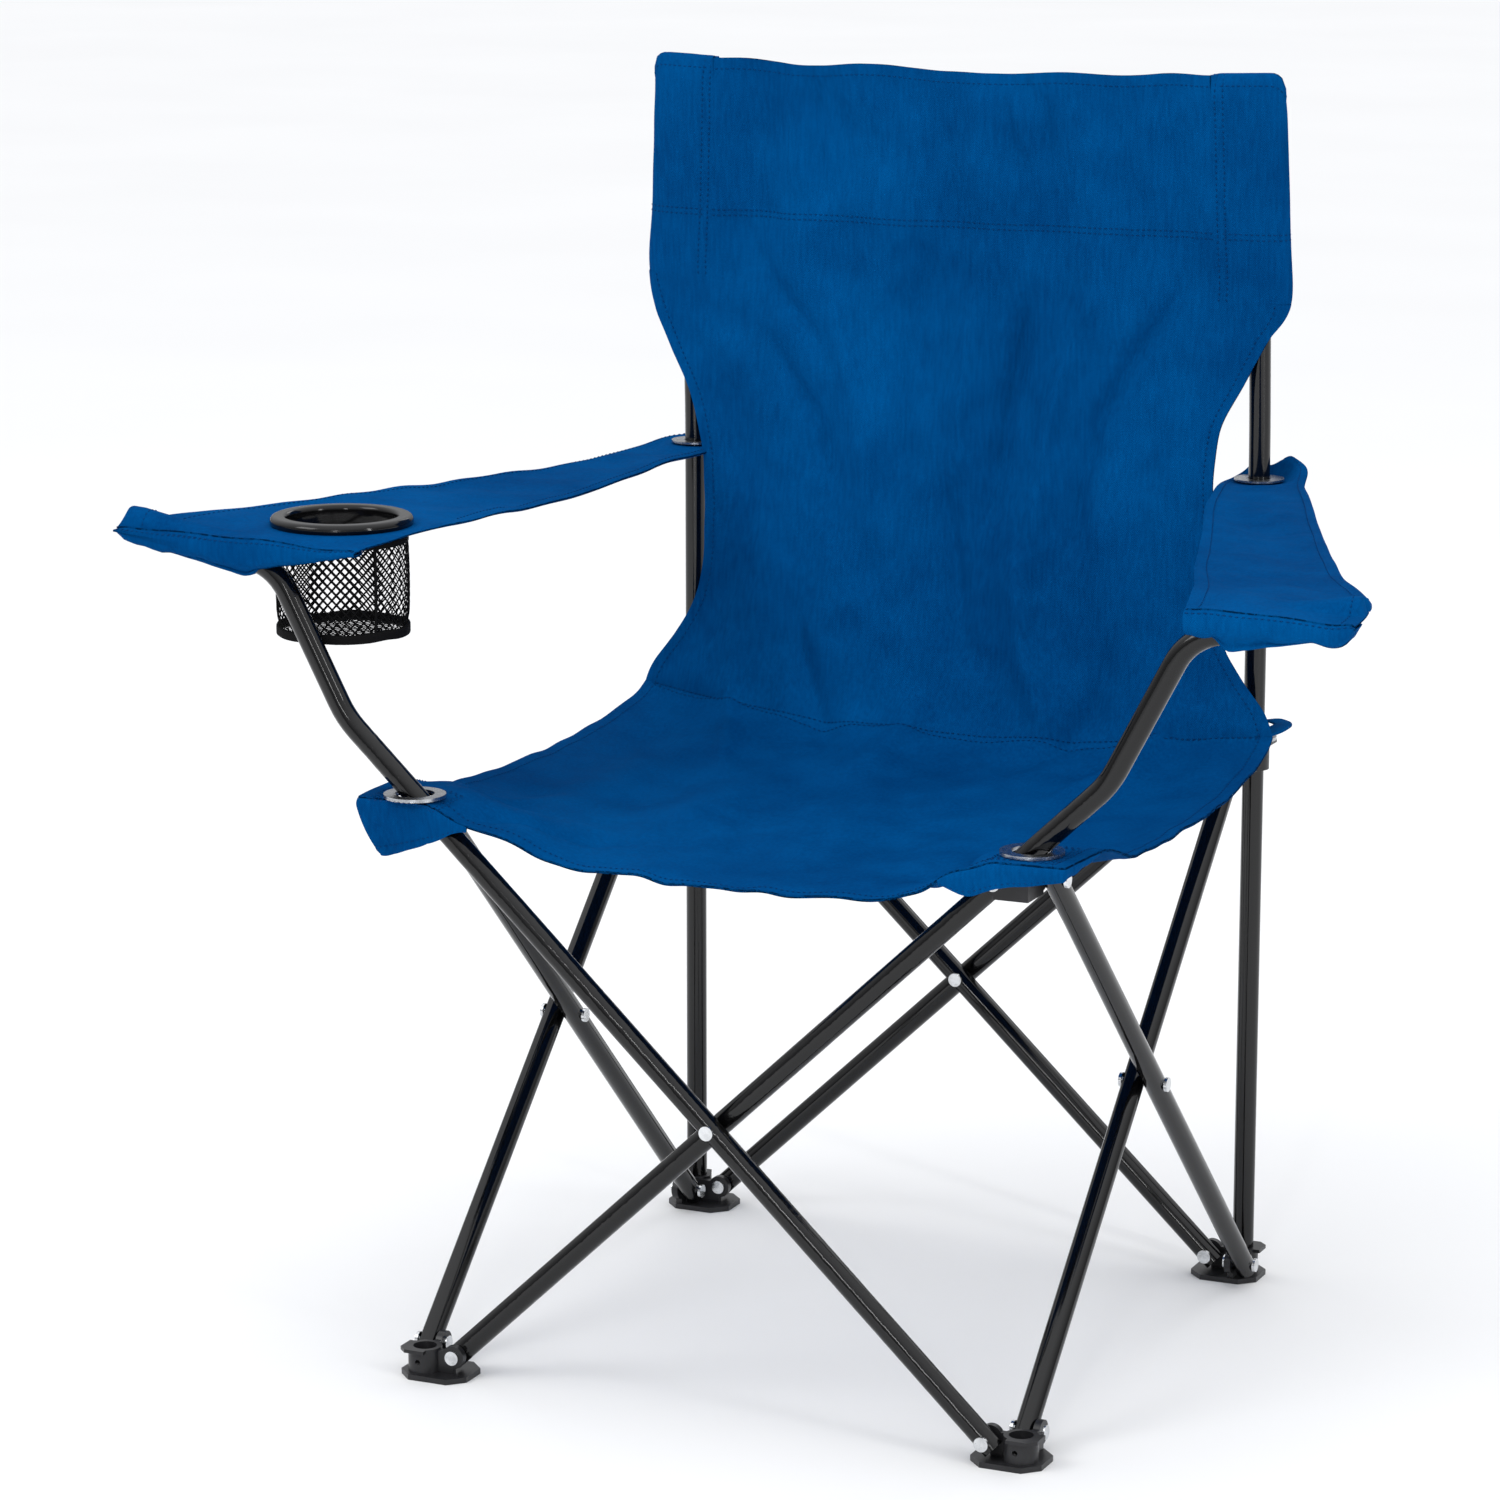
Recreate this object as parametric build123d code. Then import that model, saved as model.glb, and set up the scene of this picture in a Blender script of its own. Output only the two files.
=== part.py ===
"""Folding camp chair: a steel scissor frame with a hammock seat, two armrests and a cup holder.

Millimetres, +Z up, the front faces -Y, and +X is on the right of someone who looks at the front.
The origin is on the floor at the middle of the chair's box.
"""
from build123d import *
import math
import os

# ---- driving dimensions ------------------------------------------------------------------------
TUBE_R = 7.95            # 5/8 in steel tube, outer radius
WALL = 1.2               # wall of every tube
SPAN = 206.0             # half distance between the pivots of one scissor, in x and in y
PIVOT_Z = 16.5           # height of the lower pivots
TOP_Z = 407.0            # height of the upper pivots with the chair open
BAR_END = 8.0            # tube beyond an end pivot
FOOT_X = 220.2           # centre of a foot's base
FOOT_Y = 225.8
SOCKET_X = 229.5         # centre of a foot's round socket, and of a rear pole
SOCKET_Y = 232.0
PLANE_GAP = 8.1          # each bar of a scissor from the scissor's middle plane
FRONT_PLANE = -229.9     # middle plane of the front scissor
BACK_PLANE = 227.0       # middle plane of the back scissor
SIDE_PLANE = 230.9       # middle plane of the side scissors, left and right
POLE_TOP = 905.0         # top of the rear poles
POLE_BEND_Z = 640.0      # the poles lean forward above this height
POLE_LEAN = 15.0         # how far the top leans forward
RIVET_R = 2.5            # rivet shank
RIVET_HEAD_R = 5.2
RIVET_HEAD = 2.2
RUN_FIT = 0.1            # radial room round a shank
HEAD_GAP = 0.05          # room between a rivet head and its tube
GAP = 0.3                # room between neighbours that turn on each other
BASE_SIZE = (52.4, 44.0)
BASE_THICK = 4.0
BASE_CUT = 11.0          # corner cut of the octagonal base
LUG_THICK = 5.0
LUG_R = 8.5
RING_WALL = 3.6
RING_H = 22.0
FLANGE = (29.0, 28.0, 2.5)     # width, depth and thickness of a socket's top flange
FLANGE_CUT = 6.0
FLANGE_SHIFT = 0.8       # the flange stands a little outside its ring
LUG_RISE = 4.0           # a lug's block above its pivot
PIN_Z = 12.5             # height of the pin through a rear pole's foot
PIN_R = 1.9
PIN_HOLE_R = 2.1
ARM_BEND_1 = (282.0, 479.0)    # first bend of the arm, on the line of the bar
ARM_BEND_2 = (336.0, 582.0)    # second bend
ARM_END = (447.0, 606.0)       # end of the tube inside the arm pocket
ARM_RADII = (70.0, 42.0)
ARM_Z = 610.0            # middle of the armrest cloth
CLOTH = 5.0              # plain thickness that stands for padded cloth
SEAT_Z = 398.0
BACK_TOP = 915.0
SLEEVE_LOW = 745.0
SLEEVE_HALF = 27.5
SLEEVE_OUT = 1.0         # the sleeve's middle lies this much outside the pole
WAIST_X = 206.0
CUP = (-315.0, -180.0, 607.0)  # centre of the underside of the cup ring
CUP_INNER_R = 39.0
CUP_OUTER_R = 50.0
CUP_DEPTH = 80.0         # from the ring's underside to the bottom of the bag
MESH_R = 46.0            # the mesh bag hangs from under the ring

os.makedirs("parts", exist_ok=True)
rise = math.atan2(TOP_Z - PIVOT_Z, 2 * SPAN)
MID_Z = (TOP_Z + PIVOT_Z) / 2


def save(shape, name):
    """Write one sub-part."""
    export_step(shape, f"parts/{name}.step")


def rod(start, end, radius):
    """A solid round rod from one point to another."""
    a = Vector(*start)
    run = Vector(*end) - a
    return Plane(origin=a, z_dir=run) * Cylinder(
        radius, run.length, align=(Align.CENTER, Align.CENTER, Align.MIN)
    )


def pipe(start, end):
    """A straight open tube."""
    return rod(start, end, TUBE_R) - rod(start, end, TUBE_R - WALL)


def box(low, high):
    """A block from its low corner to its high corner."""
    size = [h - l for l, h in zip(low, high)]
    centre = [(h + l) / 2 for l, h in zip(low, high)]
    return Pos(*centre) * Box(*size)


def along(axis, point, radius, length):
    """A round rod centred on a point, along X or Y."""
    turn = Rot(0, 90, 0) if axis == "x" else Rot(90, 0, 0)
    return Pos(*point) * turn * Cylinder(radius, length)


def drilled(tube, axis, points):
    """The tube with a running hole for a rivet at each point."""
    for point in points:
        tube -= along(axis, point, RIVET_R + RUN_FIT, 4 * TUBE_R)
    return tube


def beyond(start, end, extra):
    """The point that lies extra before start on the line from start to end."""
    a = Vector(*start)
    run = (Vector(*end) - a).normalized()
    out = a - run * extra
    return (out.X, out.Y, out.Z)


def straight_bar(low, high, axis):
    """A scissor bar with its three rivet holes."""
    middle = tuple((a + b) / 2 for a, b in zip(low, high))
    tube = pipe(beyond(low, high, BAR_END), beyond(high, low, BAR_END))
    return drilled(tube, axis, (low, middle, high))


def bent_bar(side, y):
    """A front bar: from the foot opposite its arm, through the crossing, up to the arm."""
    low = (-side * SPAN, y, PIVOT_Z)
    high = (side * SPAN, y, TOP_Z)
    middle = (0, y, MID_Z)
    first = beyond(low, high, BAR_END)
    points = [first] + [(side * x, y, z) for x, z in (ARM_BEND_1, ARM_BEND_2, ARM_END)]
    path = FilletPolyline(*points, radius=list(ARM_RADII))
    along_bar = Plane(origin=first, z_dir=Vector(*high) - Vector(*low))
    tube = sweep(along_bar * Circle(TUBE_R), path=path)
    tube -= sweep(along_bar * Circle(TUBE_R - WALL), path=path)
    return drilled(tube, "y", (low, middle, high))


def rivet(axis, point, low, high):
    """A rivet through a tube and a lug, or through two tubes, from low to high on its axis."""
    def at(value):
        return (value, point[1], point[2]) if axis == "x" else (point[0], value, point[2])
    body = along(axis, at((low + high) / 2), RIVET_R, high - low)
    for value, step in ((low, -1), (high, 1)):
        body += along(axis, at(value + step * RIVET_HEAD / 2), RIVET_HEAD_R, RIVET_HEAD)
    return body


# ---- bars ----------------------------------------------------------------------------------------
back_front = BACK_PLANE - PLANE_GAP
back_behind = BACK_PLANE + PLANE_GAP
front_front = FRONT_PLANE - PLANE_GAP
front_behind = FRONT_PLANE + PLANE_GAP

save(straight_bar((-SPAN, back_behind, PIVOT_Z), (SPAN, back_behind, TOP_Z), "y"), "back_bar_to_right")
save(straight_bar((SPAN, back_front, PIVOT_Z), (-SPAN, back_front, TOP_Z), "y"), "back_bar_to_left")
for name, plane in (("left", -SIDE_PLANE), ("right", SIDE_PLANE)):
    to_front = straight_bar(
        (plane + PLANE_GAP, SPAN, PIVOT_Z), (plane + PLANE_GAP, -SPAN, TOP_Z), "x"
    )
    to_rear = straight_bar(
        (plane - PLANE_GAP, -SPAN, PIVOT_Z), (plane - PLANE_GAP, SPAN, TOP_Z), "x"
    )
    save(to_front, f"side_bar_{name}_to_front")
    save(to_rear, f"side_bar_{name}_to_rear")

save(bent_bar(-1, front_front), "front_bar_to_left_arm")
save(bent_bar(1, front_behind), "front_bar_to_right_arm")

# ---- rivets at the crossings, loose in both bars by the running fit ---------------------------------
reach = PLANE_GAP + TUBE_R + HEAD_GAP
save(rivet("y", (0, 0, MID_Z), FRONT_PLANE - reach, FRONT_PLANE + reach), "crossing_rivet_front")
save(rivet("y", (0, 0, MID_Z), BACK_PLANE - reach, BACK_PLANE + reach), "crossing_rivet_back")
for name, plane in (("left", -SIDE_PLANE), ("right", SIDE_PLANE)):
    save(rivet("x", (0, 0, MID_Z), plane - reach, plane + reach), f"crossing_rivet_{name}")


# ---- feet and upper brackets -------------------------------------------------------------------------
def lug(axis, plane_low, pivot, root, z_low, z_high):
    """A flat lug: round about its pivot, running along to the root it grows from."""
    plane_high = plane_low + LUG_THICK
    middle = (plane_low + plane_high) / 2
    if axis == "y":
        eye = along("y", (pivot[0], middle, pivot[1]), LUG_R, LUG_THICK)
        low = (min(pivot[0], root), plane_low, z_low)
        high = (max(pivot[0], root), plane_high, z_high)
        hole = along("y", (pivot[0], middle, pivot[1]), RIVET_R, 3 * LUG_THICK)
    else:
        eye = along("x", (middle, pivot[0], pivot[1]), LUG_R, LUG_THICK)
        low = (plane_low, min(pivot[0], root), z_low)
        high = (plane_high, max(pivot[0], root), z_high)
        hole = along("x", (middle, pivot[0], pivot[1]), RIVET_R, 3 * LUG_THICK)
    return eye + box(low, high), hole


def lug_planes(x_bar_behind, side_bar_outer, sx, sy):
    """Where the two lugs stand: each on the side of its scissor's middle plane that its bar leaves free."""
    middle_y = FRONT_PLANE if sy < 0 else BACK_PLANE
    y_low = middle_y - LUG_THICK if x_bar_behind else middle_y
    middle_x = sx * SIDE_PLANE
    bar_plus_x = side_bar_outer if sx > 0 else not side_bar_outer
    x_low = middle_x - LUG_THICK if bar_plus_x else middle_x
    return y_low, x_low


def fitting(sx, sy, x_bar_behind, side_bar_outer, pivot_z, z_low, ring_bore):
    """The two lugs and the ring that feet and rear brackets share, and the rivet holes."""
    y_low, x_low = lug_planes(x_bar_behind, side_bar_outer, sx, sy)
    z_high = pivot_z + LUG_RISE
    front_lug, hole_a = lug("y", y_low, (sx * SPAN, pivot_z), sx * SOCKET_X, z_low, z_high)
    side_lug, hole_b = lug("x", x_low, (sy * SPAN, pivot_z), sy * SOCKET_Y, z_low, z_high)
    body = front_lug + side_lug
    centre = (sx * SOCKET_X, sy * SOCKET_Y)
    ring = Pos(*centre, z_low) * Cylinder(
        ring_bore + RING_WALL, RING_H, align=(Align.CENTER, Align.CENTER, Align.MIN)
    )
    flange_at = (centre[0] + sx * FLANGE_SHIFT, centre[1] + sy * FLANGE_SHIFT, z_low + RING_H - FLANGE[2])
    flange = Pos(*flange_at) * extrude(
        octagon(FLANGE[0], FLANGE[1], FLANGE_CUT), FLANGE[2]
    )
    keep = box(
        (min(centre[0] - sx * 6, sx * 280), min(centre[1] - sy * 6, sy * 280), z_low),
        (max(centre[0] - sx * 6, sx * 280), max(centre[1] - sy * 6, sy * 280), z_low + RING_H),
    )
    return body + ring + (flange & keep), (hole_a, hole_b), centre


def octagon(width, depth, cut):
    """A rectangle with its corners cut."""
    w = width / 2
    d = depth / 2
    points = [
        (w - cut, -d), (w, cut - d), (w, d - cut), (w - cut, d),
        (cut - w, d), (-w, d - cut), (-w, cut - d), (cut - w, -d),
    ]
    return make_face(Polyline(*points, close=True))


def foot(sx, sy, x_bar_behind, side_bar_outer, ring_bore, blind):
    """One foot: octagonal base, ring, two lugs and the pin hole through the ring."""
    body, holes, centre = fitting(sx, sy, x_bar_behind, side_bar_outer, PIVOT_Z, 0, ring_bore)
    base = Pos(sx * FOOT_X, sy * FOOT_Y, 0) * extrude(octagon(*BASE_SIZE, BASE_CUT), BASE_THICK)
    body += base
    for hole in holes:
        body -= hole
    body -= Pos(*centre, blind) * Cylinder(
        ring_bore, RING_H, align=(Align.CENTER, Align.CENTER, Align.MIN)
    )
    body -= along("y", (centre[0], centre[1], PIN_Z), 2.0, 60)
    return body


FEET = {
    "rear_left": (-1, 1, True, False),
    "rear_right": (1, 1, False, True),
    "front_left": (-1, -1, True, True),
    "front_right": (1, -1, False, False),
}
POLE_SEAT_Z = BASE_THICK
SOCKET_BORE = 8.6
for name, (sx, sy, behind, outer) in FEET.items():
    bore = TUBE_R + 0.05 if sy > 0 else SOCKET_BORE
    save(foot(sx, sy, behind, outer, bore, POLE_SEAT_Z), f"foot_{name}")

# the upper brackets carry the other bar of each scissor, so their lugs stand on the other side
EYELET_GAP = 0.4
BRACKET_LOW = TOP_Z - 12.0
BRACKET_BORE = TUBE_R + 0.35
BRACKETS = {
    "rear_left": (-1, 1, False, True),
    "rear_right": (1, 1, True, False),
}
for name, (sx, sy, behind, outer) in BRACKETS.items():
    body, holes, centre = fitting(sx, sy, behind, outer, TOP_Z, BRACKET_LOW, BRACKET_BORE)
    for hole in holes:
        body -= hole
    body -= Pos(*centre, TOP_Z) * Cylinder(BRACKET_BORE, 60)
    save(body, f"bracket_{name}")

FRONT_BRACKETS = {
    "front_left": (-1, False, False),
    "front_right": (1, True, True),
}
CORNER_Z = (TOP_Z - 11.0, TOP_Z + 7.5)
for name, (sx, behind, outer) in FRONT_BRACKETS.items():
    y_low, x_low = lug_planes(behind, outer, sx, -1)
    x_outer = x_low if sx < 0 else x_low + LUG_THICK
    cross_lug, hole_a = lug("y", y_low, (sx * SPAN, TOP_Z), x_outer, *CORNER_Z)
    side_lug, hole_b = lug("x", x_low, (-SPAN, TOP_Z), y_low, *CORNER_Z)
    save((cross_lug + side_lug) - hole_a - hole_b, f"bracket_{name}")


def end_rivets(sx, sy, behind, outer, z):
    """The two rivets of a foot or bracket: bar and lug of each scissor."""
    y_low, x_low = lug_planes(behind, outer, sx, sy)
    middle_y = FRONT_PLANE if sy < 0 else BACK_PLANE
    middle_x = sx * SIDE_PLANE
    tube = PLANE_GAP + TUBE_R + HEAD_GAP
    y_ends = (y_low, middle_y + tube) if behind else (middle_y - tube, y_low + LUG_THICK)
    bar_plus_x = outer if sx > 0 else not outer
    x_ends = (x_low, middle_x + tube) if bar_plus_x else (middle_x - tube, x_low + LUG_THICK)
    first = rivet("y", (sx * SPAN, 0, z), *y_ends)
    second = rivet("x", (0, sy * SPAN, z), *x_ends)
    return Compound(children=[first, second])


for name, (sx, sy, behind, outer) in FEET.items():
    save(end_rivets(sx, sy, behind, outer, PIVOT_Z), f"foot_rivets_{name}")
for name, (sx, sy, behind, outer) in BRACKETS.items():
    save(end_rivets(sx, sy, behind, outer, TOP_Z), f"bracket_rivets_{name}")
for name, (sx, behind, outer) in FRONT_BRACKETS.items():
    save(end_rivets(sx, -1, behind, outer, TOP_Z), f"bracket_rivets_{name}")


# ---- rear poles, their pins and caps ------------------------------------------------------------------
def pole_path(x, z_low, z_high):
    """The line of a rear pole between two heights above its bend."""
    lean = POLE_LEAN / (POLE_TOP - POLE_BEND_Z)
    low = (x, SOCKET_Y - max(0, z_low - POLE_BEND_Z) * lean, z_low)
    high = (x, SOCKET_Y - (z_high - POLE_BEND_Z) * lean, z_high)
    return low, high


CAP_THICK = 4.0
for name, sx in (("left", -1), ("right", 1)):
    x = sx * SOCKET_X
    top = pole_path(x, POLE_BEND_Z, POLE_TOP)[1]
    line = FilletPolyline(
        (x, SOCKET_Y, POLE_SEAT_Z), (x, SOCKET_Y, POLE_BEND_Z), top, radius=900
    )
    start = Plane(origin=(x, SOCKET_Y, POLE_SEAT_Z), z_dir=(0, 0, 1))
    pole = sweep(start * Circle(TUBE_R), path=line) - sweep(start * Circle(TUBE_R - WALL), path=line)
    pole -= along("y", (x, SOCKET_Y, PIN_Z), PIN_HOLE_R, 40)
    save(pole, f"pole_{name}")
    pin = along("y", (x, SOCKET_Y, PIN_Z), PIN_R, 2 * (TUBE_R + RING_WALL) - 1.0)
    save(pin, f"pole_pin_{name}")
    tilt = Plane(origin=top, z_dir=Vector(0, -POLE_LEAN, POLE_TOP - POLE_BEND_Z))
    cap = tilt * Cylinder(TUBE_R, CAP_THICK, align=(Align.CENTER, Align.CENTER, Align.MIN))
    cap += tilt * Pos(0, 0, -14) * Cylinder(
        TUBE_R - WALL - 0.05, 14, align=(Align.CENTER, Align.CENTER, Align.MIN)
    )
    save(cap, f"pole_cap_{name}")

# ---- plugs in the arm ends ---------------------------------------------------------------------------
for name, side, y in (("left", -1, front_front), ("right", 1, front_behind)):
    end = (side * ARM_END[0], y, ARM_END[1])
    back = (side * ARM_BEND_2[0], y, ARM_BEND_2[1])
    plug = rod(end, beyond(end, back, 3.0), TUBE_R)
    plug += rod(beyond(end, back, -12.0), end, TUBE_R - WALL - 0.05)
    save(plug, f"arm_plug_{name}")

# ---- back and seat cloth, plain solids ---------------------------------------------------------------
lean_top = POLE_LEAN / (POLE_TOP - POLE_BEND_Z)
SLEEVE_THICK = 2 * TUBE_R + 5.0
for name, sx in (("left", -1), ("right", 1)):
    x = sx * SOCKET_X
    low, high = pole_path(x, SLEEVE_LOW, BACK_TOP)
    frame = Plane(origin=low, x_dir=(1, 0, 0), z_dir=Vector(*high) - Vector(*low))
    height = (Vector(*high) - Vector(*low)).length
    outline = Pos(sx * SLEEVE_OUT, 0) * RectangleRounded(2 * SLEEVE_HALF, SLEEVE_THICK, SLEEVE_THICK / 2 - 0.5)
    sleeve = extrude(frame * outline, height)
    sleeve -= extrude(frame * Circle(TUBE_R + 0.3), (POLE_TOP + CAP_THICK + 0.6 - SLEEVE_LOW))
    save(sleeve, f"back_sleeve_{name}")


def leaning_panel(points, y_low, y_high, z_low):
    """A flat panel in the x-z plane that leans forward with the poles above their bend."""
    face = make_face(Polyline(*[(px, pz) for px, pz in points], close=True))
    angle = math.degrees(math.atan(lean_top))
    upright = Plane(origin=(0, y_high, z_low), x_dir=(1, 0, 0), z_dir=(0, -1, 0))
    panel = extrude(upright * face, y_high - y_low)
    return panel.rotate(Axis((0, y_high, z_low), (1, 0, 0)), angle)


inner = SOCKET_X - SLEEVE_HALF + SLEEVE_OUT - 0.6
panel_points = [(-inner, 0.5), (inner, 0.5), (inner, BACK_TOP - POLE_BEND_Z), (-inner, BACK_TOP - POLE_BEND_Z)]
save(leaning_panel(panel_points, 215.0, 222.0, POLE_BEND_Z), "back_panel_upper")

SEAM = (205.0, 430.0)    # where the seat is sewn to the back: y and z
lower = make_face(
    Polyline(
        (SEAM[0] - 3, SEAM[1]), (SEAM[0] + 3, SEAM[1]),
        (221.0, POLE_BEND_Z), (214.5, POLE_BEND_Z), close=True
    )
)
save(Pos(-WAIST_X, 0, 0) * extrude(Plane.YZ * lower, 2 * WAIST_X), "back_panel_lower")

SEAT_MID_Y = -12.0       # the two halves of the seat meet here
SEAT_WIDE = 262.0        # half width over the side bars
SEAT_NARROW = 194.0      # half width between the corner brackets
SEAT_FRONT = -212.0
SEAT_REAR = SEAM[0] - 4.0


def seat_half(y_meet, y_wide, y_end):
    """One half of the seat: wide over the side bars, narrow between the brackets."""
    outline = [(SEAT_WIDE, y_meet), (SEAT_WIDE, y_wide), (SEAT_NARROW, y_end)]
    outline += [(-x, y) for x, y in reversed(outline)]
    return Pos(0, 0, SEAT_Z - CLOTH / 2) * extrude(make_face(Polyline(*outline, close=True)), CLOTH)


save(seat_half(SEAT_MID_Y + GAP, 60.0, SEAT_REAR), "seat_rear")
save(seat_half(SEAT_MID_Y, -60.0, SEAT_FRONT), "seat_front")

POUCH_Y = (-256.0, -250.8)
POUCH = ((196.0, 385.0), (252.0, 376.0), (276.0, 416.0), (196.0, 400.0))
for name, sx in (("left", -1), ("right", 1)):
    pouch = make_face(Polyline(*[(sx * px, pz) for px, pz in POUCH], close=True))
    flat = Plane(origin=(0, POUCH_Y[1], 0), x_dir=(1, 0, 0), z_dir=(0, -1, 0))
    save(extrude(flat * pouch, POUCH_Y[1] - POUCH_Y[0]), f"seat_corner_{name}")


# ---- eyelets and grommets ------------------------------------------------------------------------------
def washer(centre, inner_r, outer_r, thick):
    """A flat ring lying level on its low face."""
    ring = Cylinder(outer_r, thick, align=(Align.CENTER, Align.CENTER, Align.MIN))
    ring -= Cylinder(inner_r, thick, align=(Align.CENTER, Align.CENTER, Align.MIN))
    return Pos(*centre) * ring


for name, sx in (("left", -1), ("right", 1)):
    pole = (sx * SOCKET_X, SOCKET_Y)
    save(washer((*pole, BRACKET_LOW + RING_H + EYELET_GAP), BRACKET_BORE, 17.0, 2.4), f"seat_eyelet_rear_{name}")
    grommet = washer((*pole, ARM_Z - CLOTH / 2 - 1.8), TUBE_R + 0.6, 18.5, 1.5)
    grommet += washer((*pole, ARM_Z - CLOTH / 2 - 1.8), TUBE_R + 0.6, 10.5, CLOTH + 3.6)
    grommet += washer((*pole, ARM_Z + CLOTH / 2 + 0.3), TUBE_R + 0.6, 18.5, 1.5)
    save(grommet, f"arm_grommet_{name}")
    y = front_front if sx < 0 else front_behind
    eyelet_z = 427.0
    eyelet_x = sx * (SPAN + (eyelet_z + 1.2 - TOP_Z) / math.tan(rise))
    save(washer((eyelet_x, y, eyelet_z), 14.0, 22.0, 2.4), f"seat_eyelet_front_{name}")

# ---- cup holder ----------------------------------------------------------------------------------------
RING_THICK = 4.0
MESH_WALL = 1.2
HOOP_H = 5.0
cup_x, cup_y, cup_z = CUP
panel_low = cup_z - GAP - CLOTH
flange_low = panel_low - GAP - 3.0
save(washer((cup_x, cup_y, cup_z), CUP_INNER_R, CUP_OUTER_R, RING_THICK), "cup_ring")
save(washer((cup_x, cup_y, flange_low), CUP_INNER_R + 0.8, CUP_OUTER_R - 1.0, 3.0), "cup_ring_lower")
mesh_low = cup_z - CUP_DEPTH
bag = Cylinder(MESH_R, flange_low - GAP - mesh_low, align=(Align.CENTER, Align.CENTER, Align.MIN))
bag -= Pos(0, 0, MESH_WALL) * Cylinder(
    MESH_R - MESH_WALL, CUP_DEPTH, align=(Align.CENTER, Align.CENTER, Align.MIN)
)
save(Pos(cup_x, cup_y, mesh_low) * bag, "cup_mesh")
save(washer((cup_x, cup_y, mesh_low), MESH_R + 0.3, MESH_R + 2.8, HOOP_H), "cup_base_hoop")

# ---- armrests -------------------------------------------------------------------------------------------
POCKET_Y = (-260.0, -182.0)
POCKET_Z = (584.0, 618.0)
POCKET_IN = 345.0
POCKET_OUT = 456.0
CUP_PANEL_X = (-366.0, -258.0)    # the cloth round the cup ring
CUP_PANEL_REAR = -120.0
CUP_POCKET_IN = 368.0             # the left pocket stops where that cloth begins
ARM_REAR = 260.0
panel = box((CUP_PANEL_X[0], POCKET_Y[0], panel_low), (CUP_PANEL_X[1], CUP_PANEL_REAR, panel_low + CLOTH))
panel -= Pos(cup_x, cup_y, panel_low) * Cylinder(CUP_INNER_R + 1.5, 40)
save(panel, "cup_panel")
for name, sx, y in (("left", -1, front_front), ("right", 1, front_behind)):
    x_in = POCKET_IN if sx > 0 else CUP_POCKET_IN
    pocket = box(
        (min(sx * x_in, sx * POCKET_OUT), POCKET_Y[0], POCKET_Z[0]),
        (max(sx * x_in, sx * POCKET_OUT), POCKET_Y[1], POCKET_Z[1]),
    )
    pocket = fillet(pocket.edges().filter_by(Axis.Z), 12.0)
    bend_slope = (ARM_END[1] - ARM_BEND_2[1]) / (ARM_END[0] - ARM_BEND_2[0])
    end = (sx * (ARM_END[0] + 3.6), y, ARM_END[1] + 0.8)
    start = (sx * (ARM_BEND_2[0] - 60.0), y, ARM_BEND_2[1] - 60.0 * bend_slope)
    pocket -= rod(start, end, TUBE_R + 0.5)
    save(pocket, f"arm_pocket_{name}")
    front = POCKET_Y[1] + 1.0
    outline = [(sx * 209.0, 196.0), (sx * 216.0, ARM_REAR), (sx * 250.0, ARM_REAR), (sx * POCKET_OUT, front)]
    if sx > 0:
        outline += [(POCKET_IN, front)]
    else:
        outline += [
            (-CUP_POCKET_IN, front), (-CUP_POCKET_IN, CUP_PANEL_REAR + 1.0),
            (CUP_PANEL_X[1], CUP_PANEL_REAR + 1.0),
        ]
    strap = Pos(0, 0, ARM_Z - CLOTH / 2) * extrude(make_face(Polyline(*outline, close=True)), CLOTH)
    strap -= Pos(sx * SOCKET_X, SOCKET_Y, ARM_Z) * Cylinder(10.8, 40)
    save(strap, f"armrest_{name}")

print("bar angle", round(math.degrees(rise), 3), "bar length", round(math.hypot(2 * SPAN, TOP_Z - PIVOT_Z), 2))
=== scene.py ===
"""Folding camp chair: cloth, finishes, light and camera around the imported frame.

Lengths are metres in the chair's own frame: +Z up, the chair faces -Y, and +X is to the right seen
from the front. Left and right in the names are those of that front view.
"""
from __future__ import annotations

import logging
import math
from dataclasses import dataclass, field
from enum import Enum

import bpy
import numpy as np
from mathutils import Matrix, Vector


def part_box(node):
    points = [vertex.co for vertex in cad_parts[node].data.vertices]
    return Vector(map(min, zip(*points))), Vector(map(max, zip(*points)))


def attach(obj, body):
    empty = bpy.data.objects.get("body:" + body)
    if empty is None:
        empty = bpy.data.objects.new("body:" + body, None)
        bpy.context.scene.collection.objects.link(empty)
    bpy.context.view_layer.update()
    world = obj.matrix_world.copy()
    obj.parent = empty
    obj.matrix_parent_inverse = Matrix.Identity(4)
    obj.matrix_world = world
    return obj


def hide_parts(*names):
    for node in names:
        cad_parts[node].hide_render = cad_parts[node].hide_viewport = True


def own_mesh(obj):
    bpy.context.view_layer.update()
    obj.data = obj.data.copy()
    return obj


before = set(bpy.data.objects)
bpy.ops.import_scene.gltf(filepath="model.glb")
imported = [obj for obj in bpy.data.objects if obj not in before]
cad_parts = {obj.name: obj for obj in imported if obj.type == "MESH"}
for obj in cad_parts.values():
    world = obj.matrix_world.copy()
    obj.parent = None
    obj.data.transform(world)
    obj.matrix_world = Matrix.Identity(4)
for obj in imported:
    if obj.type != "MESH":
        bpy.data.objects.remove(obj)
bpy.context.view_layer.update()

LOG = logging.getLogger("camp_chair")
MM = 0.001
BACK_FACE_SHIFT = 0.37      # cloth coordinates of a shell's second face, away from the first
THREAD_SLOT = 1             # material slot of the thread in every cloth piece


# ---- small helpers -------------------------------------------------------------------------------


def node_box(node: str) -> tuple[np.ndarray, np.ndarray]:
    """The lowest and highest corner of a frame node, as arrays."""
    low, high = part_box(node)
    return np.array(low), np.array(high)


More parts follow.
